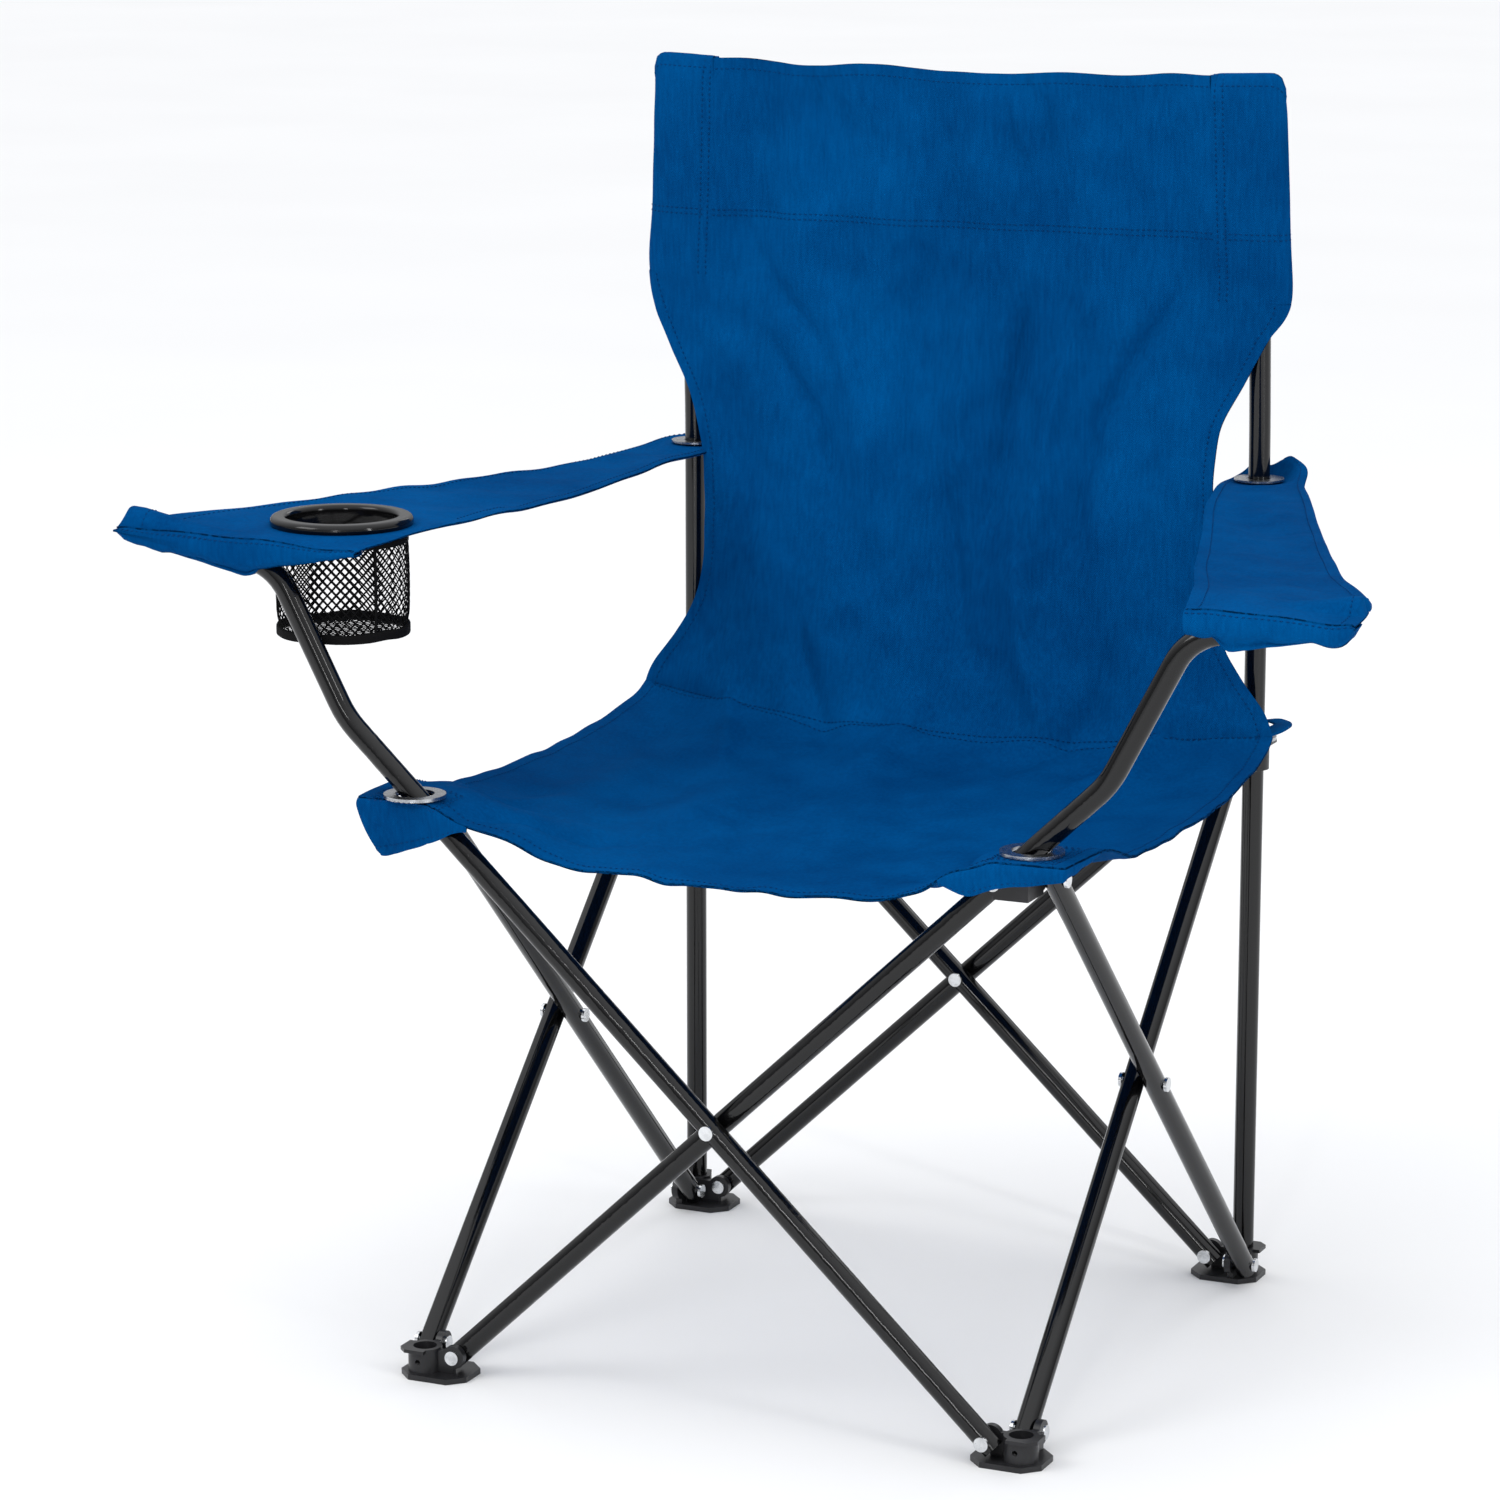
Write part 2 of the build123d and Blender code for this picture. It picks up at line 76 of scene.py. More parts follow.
def smooth_step(x: np.ndarray | float, low: float, high: float) -> np.ndarray | float:
    """0 before low, 1 after high, and a smooth rise between them."""
    t = np.clip((np.asarray(x, float) - low) / (high - low), 0.0, 1.0)
    return t * t * (3.0 - 2.0 * t)


def bump(x: np.ndarray | float, centre: float, width: float) -> np.ndarray | float:
    """A bell of height 1 about centre."""
    return np.exp(-(((np.asarray(x, float) - centre) / width) ** 2))


def catmull(values: np.ndarray, at: np.ndarray) -> np.ndarray:
    """Smooth curve through evenly numbered values.

    Args:
        values: the points, first axis along the curve.
        at: where to read it, from 0 to len(values) - 1.

    Returns:
        One point for each entry of at.
    """
    last = len(values) - 1
    cell = np.clip(np.floor(at).astype(int), 0, last - 1)
    t = (at - cell).reshape((-1,) + (1,) * (values.ndim - 1))
    p0 = values[np.maximum(cell - 1, 0)]
    p1 = values[cell]
    p2 = values[cell + 1]
    p3 = values[np.minimum(cell + 2, last)]
    slope_1 = (p2 - p0) / 2
    slope_2 = (p3 - p1) / 2
    t2 = t * t
    t3 = t2 * t
    start = (2 * t3 - 3 * t2 + 1) * p1 + (t3 - 2 * t2 + t) * slope_1
    return start + (3 * t2 - 2 * t3) * p2 + (t3 - t2) * slope_2


def grid_normals(grid: np.ndarray) -> np.ndarray:
    """Unit normals of a grid of points: across its columns by along its rows."""
    along = np.gradient(grid, axis=0)
    across = np.gradient(grid, axis=1)
    normal = np.cross(across, along)
    return normal / np.maximum(np.linalg.norm(normal, axis=2, keepdims=True), 1e-12)


def arc_lengths(grid: np.ndarray, axis: int) -> np.ndarray:
    """Distance walked along a grid from its first row or column, in metres."""
    step = np.linalg.norm(np.diff(grid, axis=axis), axis=2)
    start = np.zeros_like(np.take(step, [0], axis=axis))
    return np.concatenate([start, np.cumsum(step, axis=axis)], axis=axis)


@dataclass
class Piece:
    """Vertices, faces and the rest of a mesh while it is put together."""

    verts: list[np.ndarray] = field(default_factory=list)
    faces: list[tuple[int, ...]] = field(default_factory=list)
    uvs: list[np.ndarray] = field(default_factory=list)
    normals: list[np.ndarray] = field(default_factory=list)
    slots: list[int] = field(default_factory=list)
    count: int = 0

    def add(
        self,
        verts: np.ndarray,
        faces: list[tuple[int, ...]],
        uvs: np.ndarray | None = None,
        normals: np.ndarray | None = None,
        slot: int = 0,
    ) -> None:
        """Adds a part of the mesh.

        Args:
            verts: its points, one row each.
            faces: its faces, numbered within this part.
            uvs: flat cloth coordinates in metres, one row for each point.
            normals: shading normals, one row for each point; zero rows are worked out.
            slot: the number of its material.
        """
        n = len(verts)
        self.verts.append(np.asarray(verts, float))
        self.faces.extend(tuple(i + self.count for i in f) for f in faces)
        self.slots.extend([slot] * len(faces))
        self.uvs.append(np.zeros((n, 2)) if uvs is None else np.asarray(uvs, float))
        self.normals.append(np.zeros((n, 3)) if normals is None else np.asarray(normals, float))
        self.count += n

    def build(self, name: str, materials: list[bpy.types.Material]) -> bpy.types.Object:
        """Makes the object, smooth shaded, with its cloth coordinates.

        Args:
            name: the piece's name.
            materials: one material for each slot number.

        Returns:
            The new object.
        """
        mesh = bpy.data.meshes.new(name)
        verts = np.concatenate(self.verts)
        mesh.from_pydata(verts.tolist(), [], self.faces)
        for material in materials:
            mesh.materials.append(material)
        mesh.polygons.foreach_set("material_index", self.slots)
        layer = mesh.uv_layers.new(name="cloth")
        loops = np.zeros(len(mesh.loops), np.int32)
        mesh.loops.foreach_get("vertex_index", loops)
        layer.data.foreach_set("uv", np.concatenate(self.uvs)[loops].astype(np.float32).ravel())
        mesh.shade_smooth()
        mesh.update()
        given = np.concatenate(self.normals)
        if np.any(given):
            own = np.zeros(len(verts) * 3, np.float32)
            mesh.vertices.foreach_get("normal", own)
            own = own.reshape(-1, 3)
            use = np.linalg.norm(given, axis=1) > 0.5
            own[use] = given[use]
            mesh.normals_split_custom_set_from_vertices(own.tolist())
        obj = bpy.data.objects.new(name, mesh)
        bpy.context.scene.collection.objects.link(obj)
        return obj


def grid_faces(rows: int, columns: int, flip: bool = False) -> list[tuple[int, ...]]:
    """Quads of a grid numbered row by row."""
    i, j = np.meshgrid(np.arange(rows - 1), np.arange(columns - 1), indexing="ij")
    a = (i * columns + j).ravel()
    quads = np.stack([a, a + 1, a + columns + 1, a + columns], axis=1)
    if flip:
        quads = quads[:, ::-1]
    return [tuple(q) for q in quads.tolist()]


def add_cloth(
    piece: Piece,
    grid: np.ndarray,
    normals: np.ndarray,
    thickness: np.ndarray,
    uv: np.ndarray,
) -> None:
    """Adds a closed cloth shell about a middle surface.

    Args:
        piece: the mesh to add to.
        grid: middle surface, rows by columns by 3.
        normals: its unit normals.
        thickness: full thickness at each point.
        uv: cloth coordinates at each point.
    """
    rows, columns = grid.shape[:2]
    turned = float(np.sum(grid_normals(grid) * normals)) < 0
    half = normals * thickness[..., None] / 2
    front = (grid + half).reshape(-1, 3)
    back = (grid - half).reshape(-1, 3)
    flat = normals.reshape(-1, 3)
    n = rows * columns
    faces = grid_faces(rows, columns) + [tuple(i + n for i in f) for f in grid_faces(rows, columns, True)]
    rim = [(j, j + n, j + 1 + n, j + 1) for j in range(columns - 1)]
    top = (rows - 1) * columns
    rim += [(top + j + 1, top + j + 1 + n, top + j + n, top + j) for j in range(columns - 1)]
    for i in range(rows - 1):
        a = i * columns
        b = a + columns
        rim.append((b, b + n, a + n, a))
        a += columns - 1
        b += columns - 1
        rim.append((a, a + n, b + n, b))
    uvs = uv.reshape(-1, 2)
    every = [f[::-1] for f in faces + rim] if turned else faces + rim
    piece.add(
        np.concatenate([front, back]),
        every,
        np.concatenate([uvs, uvs + BACK_FACE_SHIFT]),
        np.concatenate([flat, -flat]),
    )


def cut_hole(piece: Piece, centre: tuple[float, float], radius: float) -> Piece:
    """Cuts a round hole, seen from above, through a cloth shell, and closes its rim.

    Args:
        piece: a piece that holds one closed shell from add_cloth.
        centre: middle of the hole in plan.
        radius: its radius.

    Returns:
        The new piece.
    """
    verts, uvs, normals = piece.verts[0].copy(), piece.uvs[0], piece.normals[0]
    half = len(verts) // 2
    gone = np.linalg.norm(verts[:, :2] - np.array(centre), axis=1)
    level = np.minimum(gone[:half], gone[half:])
    inside = np.concatenate([level, level]) < radius
    faces = [f for f in piece.faces if not all(inside[i] for i in f)]
    used = sorted({i for f in faces for i in f})
    for i in used:
        if inside[i]:
            out = verts[i, :2] - np.array(centre)
            verts[i, :2] = np.array(centre) + out / max(np.linalg.norm(out), 1e-9) * radius
    edges: dict[tuple[int, int], int] = {}
    for f in faces:
        for a, b in zip(f, f[1:] + f[:1]):
            edges[(a, b)] = edges.get((a, b), 0) + 1
    for a, b in [e for e in edges if (e[1], e[0]) not in edges]:
        if a < half and b < half:
            faces.append((b, a, a + half, b + half))
    renumber = {old: new for new, old in enumerate(used)}
    out_piece = Piece()
    out_piece.add(verts[used], [tuple(renumber[i] for i in f) for f in faces], uvs[used], normals[used])
    return out_piece


def add_stitches(
    piece: Piece,
    path: np.ndarray,
    normals: np.ndarray,
    length: float = 0.0030,
    gap: float = 0.0012,
    radius: float = 0.00042,
) -> None:
    """Adds a run of thread, one small spindle for each stitch.

    Args:
        piece: the mesh to add to.
        path: points along the seam, on the cloth's surface.
        normals: the cloth's normals there.
        length: length of a stitch.
        gap: cloth showing between two stitches.
        radius: half the thread's width.
    """
    walked = np.concatenate([[0.0], np.cumsum(np.linalg.norm(np.diff(path, axis=0), axis=1))])
    count = int(walked[-1] / (length + gap))
    if count < 1:
        return
    starts = (np.arange(count) + 0.15) * walked[-1] / count

    def at(distance: np.ndarray, values: np.ndarray) -> np.ndarray:
        """Values read at a walked distance."""
        return np.stack([np.interp(distance, walked, values[:, k]) for k in range(3)], axis=1)

    a = at(starts, path)
    b = at(starts + length, path)
    up = at(starts + length / 2, normals)
    up /= np.linalg.norm(up, axis=1, keepdims=True)
    run = b - a
    side = np.cross(run, up)
    side /= np.maximum(np.linalg.norm(side, axis=1, keepdims=True), 1e-12)
    middle = (a + b) / 2 + up * radius * 0.35
    ends = [a, b]
    ring = [middle + side * radius, middle + up * radius, middle - side * radius, middle - up * radius]
    verts = np.stack(ends + ring, axis=1).reshape(-1, 3)
    faces: list[tuple[int, ...]] = []
    for k in range(count):
        o = k * 6
        for m in range(4):
            p = o + 2 + m
            q = o + 2 + (m + 1) % 4
            faces.append((o, p, q))
            faces.append((o + 1, q, p))
    piece.add(verts, faces, slot=THREAD_SLOT)


def lathe(profile: list[tuple[float, float]], segments: int) -> tuple[np.ndarray, list[tuple[int, ...]]]:
    """A closed profile of radius and height turned about the Z axis.

    Args:
        profile: radius and height of each point, in order round the section.
        segments: steps round the circle.

    Returns:
        Vertices and faces.
    """
    n = len(profile)
    angles = np.arange(segments) * math.tau / segments
    verts = np.array([(r * math.cos(a), r * math.sin(a), z) for a in angles for r, z in profile])
    faces = []
    for i in range(segments):
        k = (i + 1) % segments
        for j in range(n):
            m = (j + 1) % n
            faces.append((i * n + j, k * n + j, k * n + m, i * n + m))
    return verts, faces


def rounded_section(width: float, height: float, radius: float, corner: int = 4) -> list[tuple[float, float]]:
    """Points round a rectangle with rounded corners, centred on nothing: it starts at its low corner."""
    points = []
    for cx, cy, a0 in (
        (width - radius, radius, -90.0),
        (width - radius, height - radius, 0.0),
        (radius, height - radius, 90.0),
        (radius, radius, 180.0),
    ):
        for k in range(corner + 1):
            a = math.radians(a0 + 90.0 * k / corner)
            points.append((cx + radius * math.cos(a), cy + radius * math.sin(a)))
    return points


# ---- folds and puckers ---------------------------------------------------------------------------


@dataclass(frozen=True)
class Fold:
    """A soft fold: a line in the cloth's flat frame, with its half width and height, in metres."""

    start: tuple[float, float]
    end: tuple[float, float]
    width: float
    height: float

    def lift(self, a: np.ndarray, b: np.ndarray) -> np.ndarray:
        """Height of the fold at flat points.

        Args:
            a: flat coordinate across the cloth.
            b: flat coordinate along the cloth.

        Returns:
            The rise above the smooth cloth.
        """
        run = np.array(self.end) - np.array(self.start)
        length = float(np.hypot(*run))
        along = ((a - self.start[0]) * run[0] + (b - self.start[1]) * run[1]) / length**2
        aside = ((a - self.start[0]) * run[1] - (b - self.start[1]) * run[0]) / length
        ends = smooth_step(along, -0.15, 0.35) * (1.0 - smooth_step(along, 0.65, 1.15))
        width = self.width * (0.7 + 0.5 * np.clip(along, 0, 1))
        return self.height * ends / (1.0 + (aside / width) ** 2) ** 1.5


@dataclass(frozen=True)
class Ripple:
    """Uneven cloth: a seeded sum of waves of about one length."""

    seed: int
    length: float
    height: float
    stretch: tuple[float, float] = (1.0, 1.0)
    waves: int = 14

    def lift(self, a: np.ndarray, b: np.ndarray) -> np.ndarray:
        """Height of the ripples at flat points.

        Args:
            a: flat coordinate across the cloth.
            b: flat coordinate along the cloth.

        Returns:
            The rise above the smooth cloth.
        """
        rng = np.random.default_rng(self.seed)
        total = np.zeros_like(a, float)
        for _ in range(self.waves):
            angle = rng.uniform(0, math.tau)
            number = math.tau / (self.length * rng.uniform(0.7, 1.6))
            phase = rng.uniform(0, math.tau)
            walk = math.cos(angle) * a / self.stretch[0] + math.sin(angle) * b / self.stretch[1]
            total += np.sin(number * walk + phase)
        return self.height * total / math.sqrt(self.waves / 2)


# ---- finishes ------------------------------------------------------------------------------------


class Nodes:
    """A material's node tree, built in short steps."""

    def __init__(self, name: str) -> None:
        """Starts an empty material with one Principled shader."""
        self.material = bpy.data.materials.new(name)
        self.material.use_nodes = True
        self.tree = self.material.node_tree
        self.shader = self.tree.nodes["Principled BSDF"]

    def add(self, kind: str, **values: object) -> bpy.types.Node:
        """Adds a node.

        Args:
            kind: its type, without the ShaderNode prefix.
            values: properties, or inputs by name with spaces as underscores; a socket is linked.

        Returns:
            The new node.
        """
        node = self.tree.nodes.new("ShaderNode" + kind)
        for key, value in values.items():
            if hasattr(node, key):
                setattr(node, key, value)
            else:
                numbered = key[0] == "i" and key[1:].isdigit()
                self.put(node.inputs[int(key[1:]) if numbered else key.replace("_", " ")], value)
        return node

    def put(self, socket: bpy.types.NodeSocket, value: object) -> None:
        """Sets or links an input."""
        if isinstance(value, bpy.types.NodeSocket):
            self.tree.links.new(value, socket)
        else:
            socket.default_value = value

    def math(self, operation: str, a: object, b: object = 0.0) -> bpy.types.NodeSocket:
        """A Math node's result."""
        return self.add("Math", operation=operation, i0=a, i1=b).outputs[0]

    def vector(self, operation: str, a: object, b: object = (0.0, 0.0, 0.0)) -> bpy.types.NodeSocket:
        """A Vector Math node's vector."""
        return self.add("VectorMath", operation=operation, i0=a, i1=b).outputs[0]

    def dot(self, a: object, b: object) -> bpy.types.NodeSocket:
        """The dot product of two vectors."""
        return self.add("VectorMath", operation="DOT_PRODUCT", i0=a, i1=b).outputs["Value"]

    def place(self) -> bpy.types.NodeSocket:
        """The point on the object, in metres."""
        return self.add("TexCoord").outputs["Object"]

    def noise(
        self, scale: float, detail: float = 2.0, vector: bpy.types.NodeSocket | None = None
    ) -> bpy.types.NodeSocket:
        """A noise value from 0 to 1.

        Args:
            scale: cells in a metre.
            detail: finer layers.
            vector: where to read it, if not the object's own points.

        Returns:
            The noise socket.
        """
        node = self.add("TexNoise", Scale=scale, Detail=detail, Vector=vector if vector else self.place())
        return node.outputs["Fac"]

    def ramp(
        self, value: bpy.types.NodeSocket, low: float, high: float, out_low: float, out_high: float
    ) -> bpy.types.NodeSocket:
        """A value moved from one range to another."""
        return self.add(
            "MapRange", Value=value, From_Min=low, From_Max=high, To_Min=out_low, To_Max=out_high
        ).outputs["Result"]

    def mix(self, factor: object, a: object, b: object) -> bpy.types.NodeSocket:
        """A colour between two colours."""
        node = self.add("Mix", data_type="RGBA")
        self.put(node.inputs[0], factor)
        self.put(node.inputs[6], a)
        self.put(node.inputs[7], b)
        return node.outputs[2]

    def bump(self, height: bpy.types.NodeSocket, distance: float, strength: float = 1.0) -> None:
        """Adds a bump on top of the earlier ones."""
        before = self.shader.inputs["Normal"].links
        node = self.add("Bump", Strength=strength, Distance=distance, Height=height)
        if before:
            self.put(node.inputs["Normal"], before[0].from_socket)
        self.put(self.shader.inputs["Normal"], node.outputs[0])

    def set(self, **values: object) -> None:
        """Sets or links the shader's inputs by name, with spaces as underscores."""
        for key, value in values.items():
            self.put(self.shader.inputs[key.replace("_", " ")], value)


def colour(red: float, green: float, blue: float) -> tuple[float, float, float, float]:
    """A display colour of 0 to 255 as the linear one that shaders take."""
    linear = [((c / 255 + 0.055) / 1.055) ** 2.4 if c > 10 else c / 255 / 12.92 for c in (red, green, blue)]
    return (linear[0], linear[1], linear[2], 1.0)


@dataclass(frozen=True)
class WovenCloth:
    """Coated plain-weave cloth: yarns over and under, soft mottling that is partly uneven tone and partly
    painted sheen, and a slight sheen.
    """

    name: str
    light: tuple[float, float, float, float]
    dark: tuple[float, float, float, float]
    yarn: float = 0.00085
    roughness: float = 0.82
    sheen: float = 0.0

    def make(self) -> bpy.types.Material:
        """Builds the material."""
        n = Nodes(self.name)
        waves = n.vector("SINE", n.vector("SCALE", n.place()))
        scaled = waves.node.inputs[0].links[0].from_node
        scaled.inputs["Scale"].default_value = math.pi / self.yarn
        parts = n.add("SeparateXYZ", i0=waves)
        x, y, z = parts.outputs
        checks = n.add(
            "CombineXYZ",
            i0=n.math("MULTIPLY", y, z),
            i1=n.math("MULTIPLY", z, x),
            i2=n.math("MULTIPLY", x, y),
        ).outputs[0]
        facing = n.add("NewGeometry").outputs["Normal"]
        weave = n.dot(checks, n.vector("MULTIPLY", facing, facing))
        slub = n.noise(420.0, 3.0, n.vector("MULTIPLY", n.place(), (1.0, 1.0, 0.12)))
        # The mottle and cloud noise make the cloth lighter and darker in soft patches: partly uneven tone,
        # partly painted sheen.
        mottle_and_sheen = n.noise(26.0, 4.0)
        cloud = n.noise(5.0, 2.0)
        tone_and_painted_sheen = n.math("ADD", n.math("MULTIPLY", mottle_and_sheen, 0.35), n.math("MULTIPLY", cloud, 0.65))
        tone = n.ramp(tone_and_painted_sheen, 0.32, 0.68, 0.0, 1.0)
        tint = n.math("ADD", n.math("MULTIPLY", tone, 0.6), n.ramp(slub, 0.3, 0.7, 0.0, 0.28))
        tint = n.math("ADD", tint, n.math("MULTIPLY", weave, 0.10))
        n.set(
            Base_Color=n.mix(tint, self.dark, self.light),
            Roughness=n.ramp(slub, 0.3, 0.7, self.roughness - 0.06, self.roughness + 0.06),
            Sheen_Weight=self.sheen,
            Sheen_Roughness=0.45,
            Specular_IOR_Level=0.008,
        )
        n.bump(n.noise(70.0, 3.0), 0.0016, 0.45)
        n.bump(n.noise(230.0, 2.0), 0.0005, 0.45)
        n.bump(weave, 0.00020, 0.6)
        return n.material


@dataclass(frozen=True)
class PaintedTube:
    """Black powder paint on steel tube: glossy, a little uneven, with fine rub marks."""

    name: str = "black_tube_paint"

    def make(self) -> bpy.types.Material:
        """Builds the material."""
        n = Nodes(self.name)
        rub = n.noise(900.0, 4.0, n.vector("MULTIPLY", n.place(), (1.0, 1.0, 0.08)))
        patch = n.noise(14.0, 3.0)
        worn = n.math("MULTIPLY", n.ramp(rub, 0.62, 0.8, 0.0, 1.0), n.ramp(patch, 0.5, 0.7, 0.0, 1.0))
        wear = n.math("ADD", n.math("MULTIPLY", rub, 0.5), n.math("MULTIPLY", patch, 0.5))
        n.set(
            Base_Color=n.mix(worn, colour(5, 5, 6), colour(30, 30, 32)),
            Roughness=n.ramp(wear, 0.3, 0.7, 0.07, 0.15),
            Specular_IOR_Level=0.42,
        )
        n.bump(n.noise(260.0, 2.0), 0.0002, 0.12)
        return n.material


@dataclass(frozen=True)
class Moulding:
    """Moulded black plastic with a fine grain and duller worn patches."""

    name: str
    tone: tuple[float, float, float, float]
    roughness: float
    grain: float

    def make(self) -> bpy.types.Material:
        """Builds the material."""
        n = Nodes(self.name)
        patch = n.noise(38.0, 4.0)
        pale = tuple(min(1.0, c * 2.1) for c in self.tone[:3]) + (1.0,)
        n.set(
            Base_Color=n.mix(n.ramp(patch, 0.45, 0.75, 0.0, 0.7), self.tone, pale),
            Roughness=n.ramp(patch, 0.3, 0.7, self.roughness - 0.07, self.roughness + 0.08),
            Specular_IOR_Level=0.34,
        )
        n.bump(n.noise(1500.0, 2.0), 0.0002, self.grain)
        n.bump(n.noise(60.0, 2.0), 0.0006, self.grain * 0.6)
        return n.material


@dataclass(frozen=True)
class PlatedMetal:
    """Bright plated metal with fine turning marks and a faint cloudiness."""

    name: str
    tone: tuple[float, float, float, float]
    roughness: float

    def make(self) -> bpy.types.Material:
        """Builds the material."""
        n = Nodes(self.name)
        marks = n.noise(2600.0, 2.0, n.vector("MULTIPLY", n.place(), (0.15, 1.0, 1.0)))
        cloud = n.noise(160.0, 3.0)
        dull = tuple(c * 0.62 for c in self.tone[:3]) + (1.0,)
        n.set(
            Base_Color=n.mix(n.ramp(cloud, 0.4, 0.75, 0.0, 0.8), self.tone, dull),
            Metallic=1.0,
            Roughness=n.ramp(marks, 0.3, 0.7, self.roughness - 0.06, self.roughness + 0.1),
        )
        n.bump(marks, 0.00006, 0.4)
        return n.material


@dataclass(frozen=True)
class Yarn:
    """Spun or braided yarn, with its twist as a fine ridge."""

    name: str
    tone: tuple[float, float, float, float]

    def make(self) -> bpy.types.Material:
        """Builds the material."""
        n = Nodes(self.name)
        twist = n.add(
            "TexWave", Scale=420.0, Distortion=1.5, Detail=1.0, Vector=n.place(), bands_direction="DIAGONAL"
        ).outputs["Fac"]
        pale = tuple(min(1.0, c * 1.7 + 0.004) for c in self.tone[:3]) + (1.0,)
        n.set(
            Base_Color=n.mix(n.ramp(twist, 0.2, 0.9, 0.0, 1.0), self.tone, pale),
            Roughness=0.72,
            Specular_IOR_Level=0.05,
        )
        n.bump(twist, 0.0002, 0.4)
        return n.material


class Surface(Enum):
    """The finishes that pieces and frame nodes take."""

    CLOTH = "cloth"
    EDGE = "edge"
    THREAD = "thread"
    TUBE = "tube"
    PLASTIC = "plastic"
    RING = "ring"
    NET = "net"
    ZINC = "zinc"
    EYELET = "eyelet"


def make_finishes() -> dict[Surface, bpy.types.Material]:
    """Builds each finish once."""
    return {
        Surface.CLOTH: WovenCloth("blue_cloth_weave", colour(0, 83, 146), colour(0, 51, 102)).make(),
        Surface.EDGE: WovenCloth(
            "blue_binding_weave", colour(0, 78, 138), colour(0, 52, 100), yarn=0.0006
        ).make(),
        Surface.THREAD: Yarn("blue_thread", colour(0, 47, 94)).make(),
        Surface.TUBE: PaintedTube().make(),
        Surface.PLASTIC: Moulding("black_foot_plastic", colour(30, 30, 32), 0.34, 0.35).make(),
        Surface.RING: Moulding("black_ring_plastic", colour(9, 9, 10), 0.13, 0.12).make(),
        Surface.NET: Yarn("black_net_yarn", colour(9, 9, 10)).make(),
        Surface.ZINC: PlatedMetal("zinc_rivet_plating", colour(222, 224, 226), 0.2).make(),
        Surface.EYELET: PlatedMetal("eyelet_plating", colour(176, 179, 183), 0.24).make(),
    }


CLOTH_NODES = (
    "back_panel",
    "back_sleeve",
    "seat_rear",
    "seat_front",
    "seat_corner",
    "armrest",
    "arm_pocket",
    "cup_panel",
)


@dataclass(frozen=True)
class Cut:
    """A cloth piece's flat cut: width and length in metres, and its area where it isn't their product."""

    width: float
    length: float
    area: float | None = None
    held: str = "stretched"


def finish_cloth(
    piece: Piece,
    finishes: dict[Surface, bpy.types.Material],
    name: str,
    body: str,
    node: str | None,
    surface: Surface = Surface.CLOTH,
) -> bpy.types.Object:
    """Makes a cloth piece, and says what it is.

    Args:
        piece: its mesh.
        finishes: all finishes.
        name: its name.
        body: the body that it rides on.
        node: the frame node that it stands for, if there is one.
        surface: the finish of its cloth.

    Returns:
        The object.
    """
    materials = [finishes[surface]]
    if THREAD_SLOT in piece.slots:
        materials.append(finishes[Surface.THREAD])
    obj = piece.build(name, materials)
    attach(obj, body)
    if node:
        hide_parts(node)
    LOG.info("%s on %s", name, body)
    return obj


# ---- back and seat -------------------------------------------------------------------------------


@dataclass(frozen=True)
class Station:
    """One line across the back or seat: where its two edges and its middle lie, in mm."""

    left: tuple[float, float, float]
    right: tuple[float, float, float]
    middle: tuple[float, float]
    power: float = 2.2


BACK_STATIONS = (
    Station((-255, 218, 913), (248, 218, 913), (203.5, 908)),
    Station((-257, 221, 868), (250, 221, 868), (206, 866)),
    Station((-261, 225, 800), (252, 225, 800), (209, 799)),
    Station((-265, 222, 746), (253, 222, 746), (210, 746)),
    Station((-256, 217, 716), (238, 217, 716), (210, 714)),
    Station((-241, 213, 688), (224, 213, 688), (209, 684)),
    Station((-222, 208, 652), (207, 208, 652), (208, 650)),
    Station((-211, 205, 614), (203, 205, 614), (205, 612)),
    Station((-207, 201, 570), (205, 201, 570), (200, 568)),
    Station((-207, 199, 528), (207, 199, 528), (193, 526)),
    Station((-214, 197, 496), (215, 197, 496), (186, 492)),
    Station((-228, 195, 470), (231, 195, 470), (178, 460)),
    Station((-246, 194, 446), (250, 194, 446), (168, 432)),
    Station((-254, 194, 428), (257, 194, 428), (158, 416)),
)
SEAT_STATIONS = (
    Station((-254, 194, 428), (257, 194, 428), (158, 416)),
    Station((-257, 168, 418), (259, 168, 418), (128, 405)),
    Station((-260, 120, 410), (261, 120, 410), (84, 396)),
    Station((-262, 50, 404), (263, 50, 404), (26, 390)),
    Station((-264, -30, 403), (264, -30, 403), (-46, 386)),
    Station((-267, -110, 406), (266, -110, 406), (-116, 382)),
    Station((-268, -180, 413), (267, -180, 412), (-172, 380), 2.4),
    Station((-268, -226, 421), (265, -222, 420), (-204, 379), 2.8),
    Station((-266, -252, 425), (263, -250, 424), (-222, 378.5), 3.0),
)
